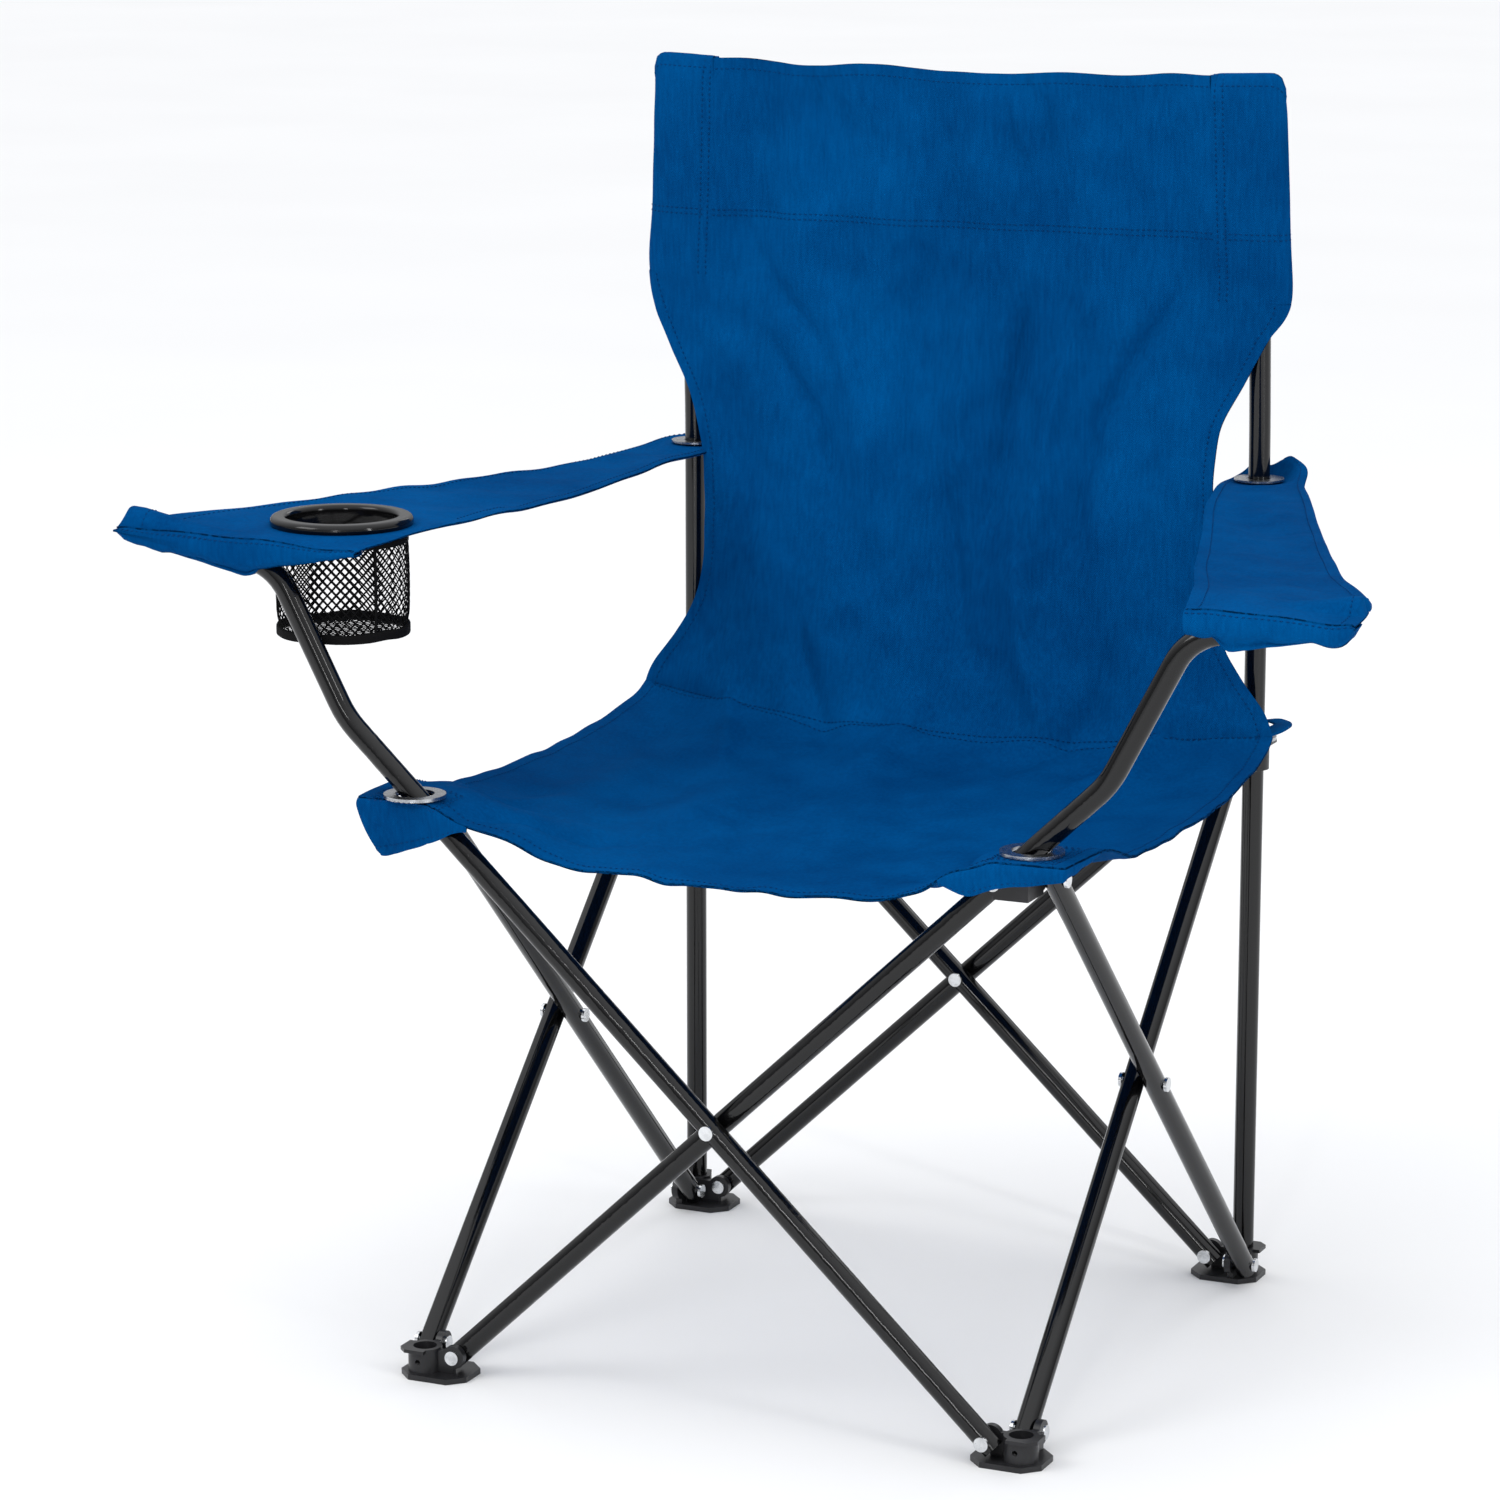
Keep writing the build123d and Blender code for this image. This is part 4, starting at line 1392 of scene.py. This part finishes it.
    def patch(self, piece: Piece, rows: slice, columns: slice, hole: bool = False) -> None:
        """Adds a part of the armrest's cloth.

        Args:
            piece: the mesh to add to.
            rows: its rows.
            columns: its columns.
            hole: whether the cup's hole is cut in it.
        """
        part = (rows, columns)
        whole = Piece()
        add_cloth(whole, self.grid[part], self.normals[part], self.thick()[part], self.flat[part])
        verts, uvs, normals = whole.verts[0], whole.uvs[0], whole.normals[0]
        faces = whole.faces
        if hole:
            whole = cut_hole(whole, self.cup_centre, self.hole)
            verts, uvs, normals = whole.verts[0], whole.uvs[0], whole.normals[0]
            faces = whole.faces
        piece.add(verts, faces, uvs, normals)

    def pocket_under(self, piece: Piece, columns: slice) -> None:
        """Adds the pocket's front face and its lower layer, under the arm tube.

        Args:
            piece: the mesh to add to.
            columns: the armrest's columns that it spans.
        """
        top = self.grid[-1, columns]
        normal = self.normals[-1, columns]
        count = len(top)
        share = np.linspace(0, 1, count)
        reach = np.abs(top[:, 0]) / MM
        depth_at, aft_at = (RIGHT_POCKET if self.side is Side.RIGHT else LEFT_POCKET)
        depth = np.interp(reach, *zip(*depth_at)) * MM
        wave = Ripple(61 if self.side is Side.RIGHT else 67, 0.022, 0.0006, (1.0, 1.0), 8)
        depth = depth + wave.lift(reach * MM, reach * 0) * np.clip(depth / 0.01, 0, 1)
        back = np.interp(reach, *zip(*aft_at)) * MM
        rows = []
        for down, aft in (
            (0.0, 0.0), (0.10, -0.0016), (0.32, -0.0026), (0.6, -0.0026), (0.85, -0.0012), (1.0, 0.0022),
            (1.06, 0.010), (1.08, 0.10), (1.02, 0.35), (0.85, 0.70), (0.5, 0.95), (0.2, 1.0),
        ):
            line = top.copy()
            line[:, 2] -= depth * down
            line[:, 1] += aft if down <= 1.0 and abs(aft) < 0.01 else back * aft
            rows.append(line)
        rows[6][:, 1] = top[:, 1] + 0.006
        exit_x = 362 if self.side is Side.RIGHT else 343
        tube_low = 0.582 + (np.clip(reach, 300, 447) - 336) * MM * 0.2162 - 0.0100
        holds = smooth_step(reach, exit_x, exit_x + 14.0) * (1.0 - smooth_step(reach, 452.0, 458.5))
        for k, share_down in ((6, 0.35), (7, 0.8), (8, 1.0), (9, 0.9)):
            drop = np.minimum(tube_low - rows[k][:, 2], 0.0) * holds * share_down
            rows[k][:, 2] += drop
        sheet = catmull(np.array(rows), np.linspace(0, len(rows) - 1, 34))
        order = np.argsort(self.outer[:, 1])
        rim = np.stack(
            [np.interp(sheet[..., 1], self.outer[order, 1], self.outer[order, k]) for k in range(3)],
            axis=2,
        )
        rim[..., 1] = sheet[..., 1]
        rim[..., 2] -= 0.0014
        close = smooth_step(share, 0.955, 0.995)[None, :, None]
        sheet += (rim - sheet) * close
        normals = grid_normals(sheet)
        if normals[8, count // 2, 1] > 0:
            normals = -normals
        normals[0] = normal * 0.6 + normals[2] * 0.4
        normals /= np.linalg.norm(normals, axis=2, keepdims=True)
        thick = np.full(sheet.shape[:2], 0.0014)
        walk = arc_lengths(sheet, 0)
        uv = np.stack([np.broadcast_to(share * 0.11, walk.shape), walk], axis=2)
        add_cloth(piece, sheet, normals, thick, uv)
        line = sheet[3] + normals[3] * 0.0009
        add_stitches(piece, line, normals[3])

    def finish(self, piece: Piece, name: str, body: str, node: str) -> bpy.types.Object:
        """Makes one cloth piece of the armrest, see finish_cloth."""
        return finish_cloth(piece, self.finishes, name, body, node)

    def build(self) -> None:
        """Builds the strap, the pocket and, on the left, the cup cloth."""
        end = self.row_at(self.pocket_y)
        name = self.side.value
        strap = Piece()
        everything = slice(0, self.columns)
        if self.side is Side.RIGHT:
            self.patch(strap, slice(0, end + 1), everything)
            self.seams(strap, slice(1, end + 1), False)
        else:
            cup = self.row_at(self.cup_y)
            self.patch(strap, slice(0, cup + 1), everything)
            self.patch(strap, slice(cup, end + 1), slice(self.cup_column, self.columns))
            self.seams(strap, slice(1, cup + 1), False)
            self.seams(strap, slice(cup, end + 1), True)
            cloth = Piece()
            self.patch(cloth, slice(cup, self.rows), slice(0, self.cup_column + 1), True)
            self.pocket_under(cloth, slice(0, self.cup_column + 1))
            self.finish(cloth, "cup_cloth", "cup_holder", "cup_panel")
        obj = self.finish(strap, f"arm_strap_{name}", f"armrest_{name}", f"armrest_{name}")
        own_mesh(obj)
        pocket = Piece()
        columns = everything if self.side is Side.RIGHT else slice(self.cup_column, self.columns)
        self.patch(pocket, slice(end, self.rows), columns)
        self.pocket_under(pocket, columns)
        self.seams(pocket, slice(end, self.rows - 1), self.side is Side.LEFT)
        body = "front_bar_to_right_arm" if self.side is Side.RIGHT else "front_bar_to_left_arm"
        self.finish(pocket, f"arm_tube_pocket_{name}", body, f"arm_pocket_{name}")


# ---- cup holder ----------------------------------------------------------------------------------


@dataclass
class CupHolder:
    """The lip, the net bag and its base band. Sizes are metres."""

    finishes: dict[Surface, bpy.types.Material]
    centre: tuple[float, float] = (-0.315, -0.180)
    lip_inner: float = 0.0395
    lip_outer: float = 0.0512
    net_radius: float = 0.0462
    net_top: float = 0.5985
    net_low: float = 0.5300
    strands: int = 46
    yarn: float = 0.00066
    band_height: float = 0.0072

    def lip(self) -> bpy.types.Object:
        """Builds the rounded lip, with the inner wall that reaches down through the cloth."""
        profile = [(self.lip_outer - 0.0006, 0.6055)]
        for k in range(9):
            angle = math.radians(-10 + 100 * k / 8)
            radius = self.lip_outer - 0.0042 + 0.0042 * math.cos(angle)
            profile.append((radius, 0.6083 + 0.0042 * math.sin(angle)))
        for k in range(9):
            angle = math.radians(90 + 90 * k / 8)
            radius = self.lip_inner + 0.0032 + 0.0032 * math.cos(angle)
            profile.append((radius, 0.6090 + 0.0035 * math.sin(angle)))
        inner = self.lip_inner
        profile += [(inner, 0.6060), (inner + 0.0004, 0.5935), (inner + 0.0016, 0.5928)]
        profile += [(self.lip_inner + 0.0022, 0.5935), (self.lip_inner + 0.0026, 0.6052)]
        verts, faces = lathe(profile, 96)
        verts[:, :2] += self.centre
        piece = Piece()
        piece.add(verts, [f[::-1] for f in faces])
        return self.place(piece, "cup_lip", Surface.RING, "black_ring", ("cup_ring",))

    def strand(self, piece: Piece, points: np.ndarray, radius: float) -> None:
        """Adds one yarn of the net along a line.

        Args:
            piece: the mesh to add to.
            points: its middle line.
            radius: half its width.
        """
        run = np.gradient(points, axis=0)
        run /= np.linalg.norm(run, axis=1, keepdims=True)
        out = points - np.array([*self.centre, 0.0])
        out[:, 2] = 0
        size = np.linalg.norm(out, axis=1, keepdims=True)
        out = np.where(size > 0.8 * self.net_radius, out / np.maximum(size, 1e-9), np.array([0.0, 0.0, 1.0]))
        side = np.cross(run, out)
        ring = [
            points + side * radius,
            points + out * radius * 0.6,
            points - side * radius,
            points - out * radius * 0.6,
        ]
        verts = np.stack(ring, axis=1).reshape(-1, 3)
        faces = []
        for i in range(len(points) - 1):
            for k in range(4):
                m = (k + 1) % 4
                faces.append((i * 4 + k, i * 4 + m, i * 4 + 4 + m, i * 4 + 4 + k))
        faces += [(3, 2, 1, 0), tuple(len(verts) - 4 + k for k in range(4))]
        piece.add(verts, faces)

    def net(self) -> bpy.types.Object:
        """Builds the net bag: crossing slanted yarns round its wall, crossing yarns in its base."""
        piece = Piece()
        t = np.linspace(0, 1, 15)
        height = self.net_top - self.net_low
        turn = height / self.net_radius * 0.92
        for k in range(self.strands):
            for way in (-1, 1):
                angle = math.tau * k / self.strands + way * turn * t + 0.03 * way
                belly = self.net_radius + 0.0009 * np.sin(math.pi * t) - 0.0018 * smooth_step(t, 0.8, 1.0)
                belly = belly + way * 0.00035
                points = np.stack(
                    [
                        self.centre[0] + belly * np.cos(angle),
                        self.centre[1] + belly * np.sin(angle),
                        self.net_top - height * t,
                    ],
                    axis=1,
                )
                self.strand(piece, points, self.yarn)
        pitch = 0.0052
        reach = self.net_radius - 0.0015
        for way in (-1, 1):
            for k in range(-8, 9):
                offset = k * pitch
                half = math.sqrt(max(reach**2 - offset**2, 0))
                along = np.array([math.cos(0.785 * way), math.sin(0.785 * way)])
                aside = np.array([-along[1], along[0]])
                s = np.linspace(-half, half, 9)
                plan = np.array(self.centre) + along * s[:, None] + aside * offset
                level = self.net_low + 0.0004 * way - 0.0012 * (1 - (s / (reach + 1e-6)) ** 2)
                self.strand(piece, np.column_stack([plan, level]), self.yarn)
        return self.place(piece, "cup_net", Surface.NET, "black_mesh", ("cup_mesh",))

    def bands(self) -> bpy.types.Object:
        """Builds the base band, the top band and the one upright seam of the bag."""
        piece = Piece()
        section = rounded_section(0.0030, self.band_height, 0.0013, 4)
        shape = [(self.net_radius - 0.0014 + r, self.net_low - 0.0030 + z) for r, z in section]
        verts, faces = lathe(shape, 96)
        wobble = Ripple(71, 0.03, 0.0004, (1, 1), 8)
        verts[:, 2] += wobble.lift(verts[:, 0], verts[:, 1])
        verts[:, 2] = np.maximum(verts[:, 2], self.net_low - 0.0030)
        verts[:, :2] += self.centre
        piece.add(verts, faces)
        shape = [(self.net_radius - 0.0012 + r * 0.8, self.net_top - 0.0052 + z * 0.8) for r, z in section]
        verts, faces = lathe(shape, 96)
        verts[:, :2] += self.centre
        piece.add(verts, faces)
        angle = math.radians(-32)
        out = np.array([math.cos(angle), math.sin(angle)])
        t = np.linspace(0, 1, 12)
        bulge = self.net_radius + 0.0009 * np.sin(math.pi * t) + 0.0004
        plan = np.array(self.centre) + out * bulge[:, None]
        self.strand(piece, np.column_stack([plan, self.net_top - (self.net_top - self.net_low) * t]), 0.0014)
        return self.place(piece, "cup_net_bands", Surface.NET, "black_mesh", ("cup_base_hoop",))

    def place(
        self, piece: Piece, name: str, surface: Surface, slot: str, nodes: tuple[str, ...]
    ) -> bpy.types.Object:
        """Makes one piece of the holder.

        Args:
            piece: its mesh.
            name: its name.
            surface: its finish.
            slot: not used.
            nodes: frame nodes that it stands for.

        Returns:
            The object.
        """
        obj = piece.build(name, [self.finishes[surface]])
        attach(obj, "cup_holder")
        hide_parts(*nodes)
        LOG.info("%s on cup_holder", name)
        return obj

    def build(self) -> None:
        """Builds all of it."""
        self.lip()
        net = self.net()
        bands = self.bands()


# ---- seat corners --------------------------------------------------------------------------------


LEFT_DROP = (
    ((178, 0.5), (190, 7), (202, 20), (213, 29), (235, 36), (250, 41), (266, 43)),
    ((-252, 43), (-236, 38), (-216, 24), (-196, 4)),
)
RIGHT_DROP = (
    ((172, 0.5), (181, 11), (192, 19), (208, 18), (225, 15), (240, 13), (254, 11), (263, 8)),
    ((-252, 8), (-236, 6), (-216, 4), (-206, 1)),
)


@dataclass
class SeatCorner:
    """The flap that turns down from a front corner of the seat, in front of its bracket. Sizes are metres."""

    side: Side
    finishes: dict[Surface, bpy.types.Material]
    seat: np.ndarray
    lean: float = 0.014
    rows: int = 30
    rear: float = -0.196

    def top_line(self) -> np.ndarray:
        """The seat's hem round the corner: along the front, then back along the side."""
        right = self.side is Side.RIGHT
        drops = RIGHT_DROP if right else LEFT_DROP
        front = self.seat[-1]
        side = self.seat[::-1, -1 if right else 0]
        first = drops[0][0][0] * MM
        front = front[front[:, 0] > first] if right else front[front[:, 0] < -first][::-1]
        return np.concatenate([front, side[1:][side[1:, 1] < self.rear]])

    def build(self) -> None:
        """Builds the flap."""
        line = self.top_line()
        walk = np.concatenate([[0.0], np.cumsum(np.linalg.norm(np.diff(line, axis=0), axis=1))])
        at = np.linspace(0, walk[-1], 72)
        top = np.stack([np.interp(at, walk, line[:, k]) for k in range(3)], axis=1)
        by_x, by_y = RIGHT_DROP if self.side is Side.RIGHT else LEFT_DROP
        corner = int(np.argmax(np.abs(top[:, 0]) - top[:, 1]))
        depth = np.where(
            np.arange(len(top)) <= corner,
            np.interp(np.abs(top[:, 0]) / MM, *zip(*by_x)),
            np.interp(top[:, 1] / MM, *zip(*by_y)),
        ) * MM
        depth = np.convolve(np.pad(depth, 3, mode="edge"), np.ones(7) / 7, mode="valid")
        down = np.linspace(0, 1, self.rows)[:, None]
        sign = 1.0 if self.side is Side.RIGHT else -1.0
        inward = np.array([0.222 * sign, -0.216]) - top[:, :2]
        inward /= np.linalg.norm(inward, axis=1, keepdims=True)
        round_off = 0.0022 * np.sin(np.clip(down * depth[None, :] / 0.006, 0, 1) * math.pi / 2)
        grid = np.repeat(top[None], self.rows, axis=0)
        grid[..., 2] -= down * depth[None, :] + 0.0004
        near = smooth_step(np.abs(at - at[corner]), 0.0, 0.045)
        slant = self.lean * (1.0 - 0.75 * near) * depth / 0.043
        grid[..., :2] += inward[None] * (slant[None, :] * down**1.3 - round_off * (1 - down))[..., None]
        a = np.broadcast_to(at[None, :], down.shape[:1] + at.shape)
        b = down * depth[None, :]
        normals = grid_normals(grid)
        mid = (self.rows // 2, len(at) // 4)
        if normals[mid][1] > 0:
            normals = -normals
        seed = 81 if self.side is Side.RIGHT else 87
        lift = Ripple(seed, 0.024, 0.0011, (1.0, 2.5), 10).lift(a, b)
        lift = lift * down**0.7 * np.clip(depth / 0.02, 0, 1)
        grid += normals * lift[..., None]
        normals = grid_normals(grid)
        if normals[mid][1] > 0:
            normals = -normals
        piece = Piece()
        hem = smooth_step(b - (depth[None, :] - 0.006), 0.0, 0.002)
        add_cloth(piece, grid, normals, 0.0011 + 0.0008 * hem, np.stack([a, b], axis=2))
        row = self.rows - 6
        add_stitches(piece, grid[row] + normals[row] * 0.0008, normals[row])
        name = self.side.value
        body, node = f"front_{name}_bracket", f"seat_corner_{name}"
        finish_cloth(piece, self.finishes, f"corner_pouch_{name}", body, node)


@dataclass
class RearLoop:
    """The loop of binding that holds a rear corner of the seat to its pole. Sizes are metres."""

    side: Side
    finishes: dict[Surface, bpy.types.Material]
    inner: float = 0.0135
    outer: float = 0.0265
    level: float = 0.4215
    thick: float = 0.0022
    out: float = 0.0035
    stretch: float = 1.42

    def build(self) -> None:
        """Builds the loop, drawn out toward the seat's corner."""
        sign = 1.0 if self.side is Side.RIGHT else -1.0
        width = self.outer - self.inner
        section = rounded_section(width, self.thick, self.thick * 0.45, 3)
        shape = [(self.inner + r, z) for r, z in section]
        verts, faces = lathe(shape, 64)
        reach = np.linalg.norm(verts[:, :2], axis=1)
        angle = np.arctan2(verts[:, 1], verts[:, 0] * sign)
        ripple = Ripple(91, 0.02, 0.0006, (1, 1), 8).lift(verts[:, 0], verts[:, 1])
        verts[:, 2] += 0.0035 * np.cos(angle - 0.4) + ripple
        verts[:, 2] += 0.0012 * np.sin((reach - self.inner) / width * math.pi)
        verts[:, 1] *= np.where(verts[:, 1] < 0, self.stretch, 1.0)
        verts += np.array([(0.2295 + self.out) * sign, 0.2275, self.level + 0.0035])
        piece = Piece()
        piece.add(verts, faces)
        name = self.side.value
        finish_cloth(
            piece, self.finishes, f"rear_corner_loop_{name}", f"rear_{name}_slider", None, Surface.EDGE
        )


# ---- frame, light and camera ---------------------------------------------------------------------


@dataclass
class TubeFrame:
    """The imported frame's own nodes: which finish each one takes."""

    finishes: dict[Surface, bpy.types.Material]

    def surface_of(self, node: str) -> Surface:
        """The finish of a node, from its name."""
        rules = (
            (("rivet", "pole_pin"), Surface.ZINC),
            (("eyelet", "grommet"), Surface.EYELET),
            (("cup_ring",), Surface.RING),
            (("cup_mesh", "cup_base"), Surface.NET),
            (("foot", "bracket", "pole_cap", "arm_plug"), Surface.PLASTIC),
            (("bar", "pole"), Surface.TUBE),
        )
        if node.startswith(CLOTH_NODES):
            return Surface.CLOTH
        for words, surface in rules:
            if any(word in node for word in words):
                return surface
        return Surface.PLASTIC

    def dress(self) -> None:
        """Gives every node its finish."""
        for node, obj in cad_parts.items():
            surface = self.surface_of(node)
            material = self.finishes[surface]
            if not obj.data.materials:
                obj.data.materials.append(material)
            for k in range(len(obj.data.materials)):
                obj.data.materials[k] = material
            LOG.info("%s takes %s", node, surface.value)


@dataclass
class Studio:
    """Pale floor, soft lights and the camera. Lengths are metres."""

    azimuth: float = 24.31
    elevation: float = 12.13
    distance: float = 3.7266
    lens: float = 122.53
    target: tuple[float, float, float] = (-0.0781, 0.0, 0.4284)
    shift: tuple[float, float] = (-0.0002, -0.0013)
    horizon: float = 0.30
    zenith: float = 1.45

    def camera(self) -> None:
        """Places the camera."""
        data = bpy.data.cameras.new("camera")
        data.lens = self.lens
        data.sensor_width = 36.0
        data.shift_x, data.shift_y = self.shift
        obj = bpy.data.objects.new("camera", data)
        a, e = math.radians(self.azimuth), math.radians(self.elevation)
        back = Vector((math.sin(a) * math.cos(e), -math.cos(a) * math.cos(e), math.sin(e)))
        obj.location = Vector(self.target) + back * self.distance
        obj.rotation_euler = (-back).to_track_quat("-Z", "Y").to_euler()
        bpy.context.scene.collection.objects.link(obj)
        bpy.context.scene.camera = obj

    def light(
        self, name: str, place: tuple[float, float, float], size: tuple[float, float], power: float
    ) -> None:
        """Adds one soft box that looks at the chair.

        Args:
            name: the lamp's name.
            place: where it stands.
            size: width and height of the box.
            power: its power in watts.
        """
        data = bpy.data.lights.new(name, "AREA")
        data.shape = "RECTANGLE"
        data.size, data.size_y = size
        data.energy = power
        obj = bpy.data.objects.new(name, data)
        obj.location = place
        look = Vector((0.0, 0.0, 0.45)) - Vector(place)
        obj.rotation_euler = look.to_track_quat("-Z", "Y").to_euler()
        bpy.context.scene.collection.objects.link(obj)

    def floor(self) -> None:
        """Adds a pale floor with a very soft unevenness."""
        size = 30.0
        mesh = bpy.data.meshes.new("studio_floor")
        corners = [(-size, -size, 0), (size, -size, 0), (size, size, 0), (-size, size, 0)]
        mesh.from_pydata(corners, [], [(0, 1, 2, 3)])
        obj = bpy.data.objects.new("studio_floor", mesh)
        bpy.context.scene.collection.objects.link(obj)
        n = Nodes("pale_floor")
        cloud = n.noise(1.2, 2.0)
        n.set(Base_Color=n.mix(cloud, (0.83, 0.83, 0.83, 1.0), (0.88, 0.88, 0.88, 1.0)), Roughness=0.85)
        mesh.materials.append(n.material)

    def world(self) -> None:
        """Fills the room with even pale light."""
        world = bpy.data.worlds.new("studio")
        world.use_nodes = True
        nodes, links = world.node_tree.nodes, world.node_tree.links
        background = nodes["Background"]
        background.inputs[0].default_value = (0.97, 0.98, 1.0, 1.0)
        split = nodes.new("ShaderNodeSeparateXYZ")
        height = nodes.new("ShaderNodeMapRange")
        height.inputs["From Min"].default_value = 0.05
        height.inputs["From Max"].default_value = 0.85
        height.inputs["To Min"].default_value = self.horizon
        height.inputs["To Max"].default_value = self.zenith
        links.new(nodes.new("ShaderNodeTexCoord").outputs["Generated"], split.inputs[0])
        links.new(split.outputs[2], height.inputs["Value"])
        links.new(height.outputs["Result"], background.inputs[1])
        bpy.context.scene.world = world

    def set_up(self) -> None:
        """Builds the whole studio."""
        self.camera()
        self.world()
        self.floor()
        self.light("key_box", (-2.2, -2.6, 2.9), (2.0, 1.6), 46)
        self.light("side_strip", (3.2, -1.2, 1.4), (0.16, 2.4), 23)
        self.light("front_strip", (0.9, -3.6, 0.9), (0.10, 2.4), 17)
        self.light("back_box", (0.6, 3.0, 2.2), (2.4, 1.0), 10)
        bpy.context.scene.view_settings.view_transform = "Standard"


def main() -> None:
    """Builds the chair in order and reports each piece."""
    logging.basicConfig(level=logging.INFO, format="%(name)s: %(message)s")
    finishes = make_finishes()
    Studio().set_up()
    TubeFrame(finishes).dress()
    hammock = Hammock(finishes)
    hammock.make_back()
    hammock.make_seat()
    for side in Side:
        Armrest(side, finishes).build()
        SeatCorner(side, finishes, hammock.seat).build()
        RearLoop(side, finishes).build()
    CupHolder(finishes).build()


if __name__ == "__main__":
    main()
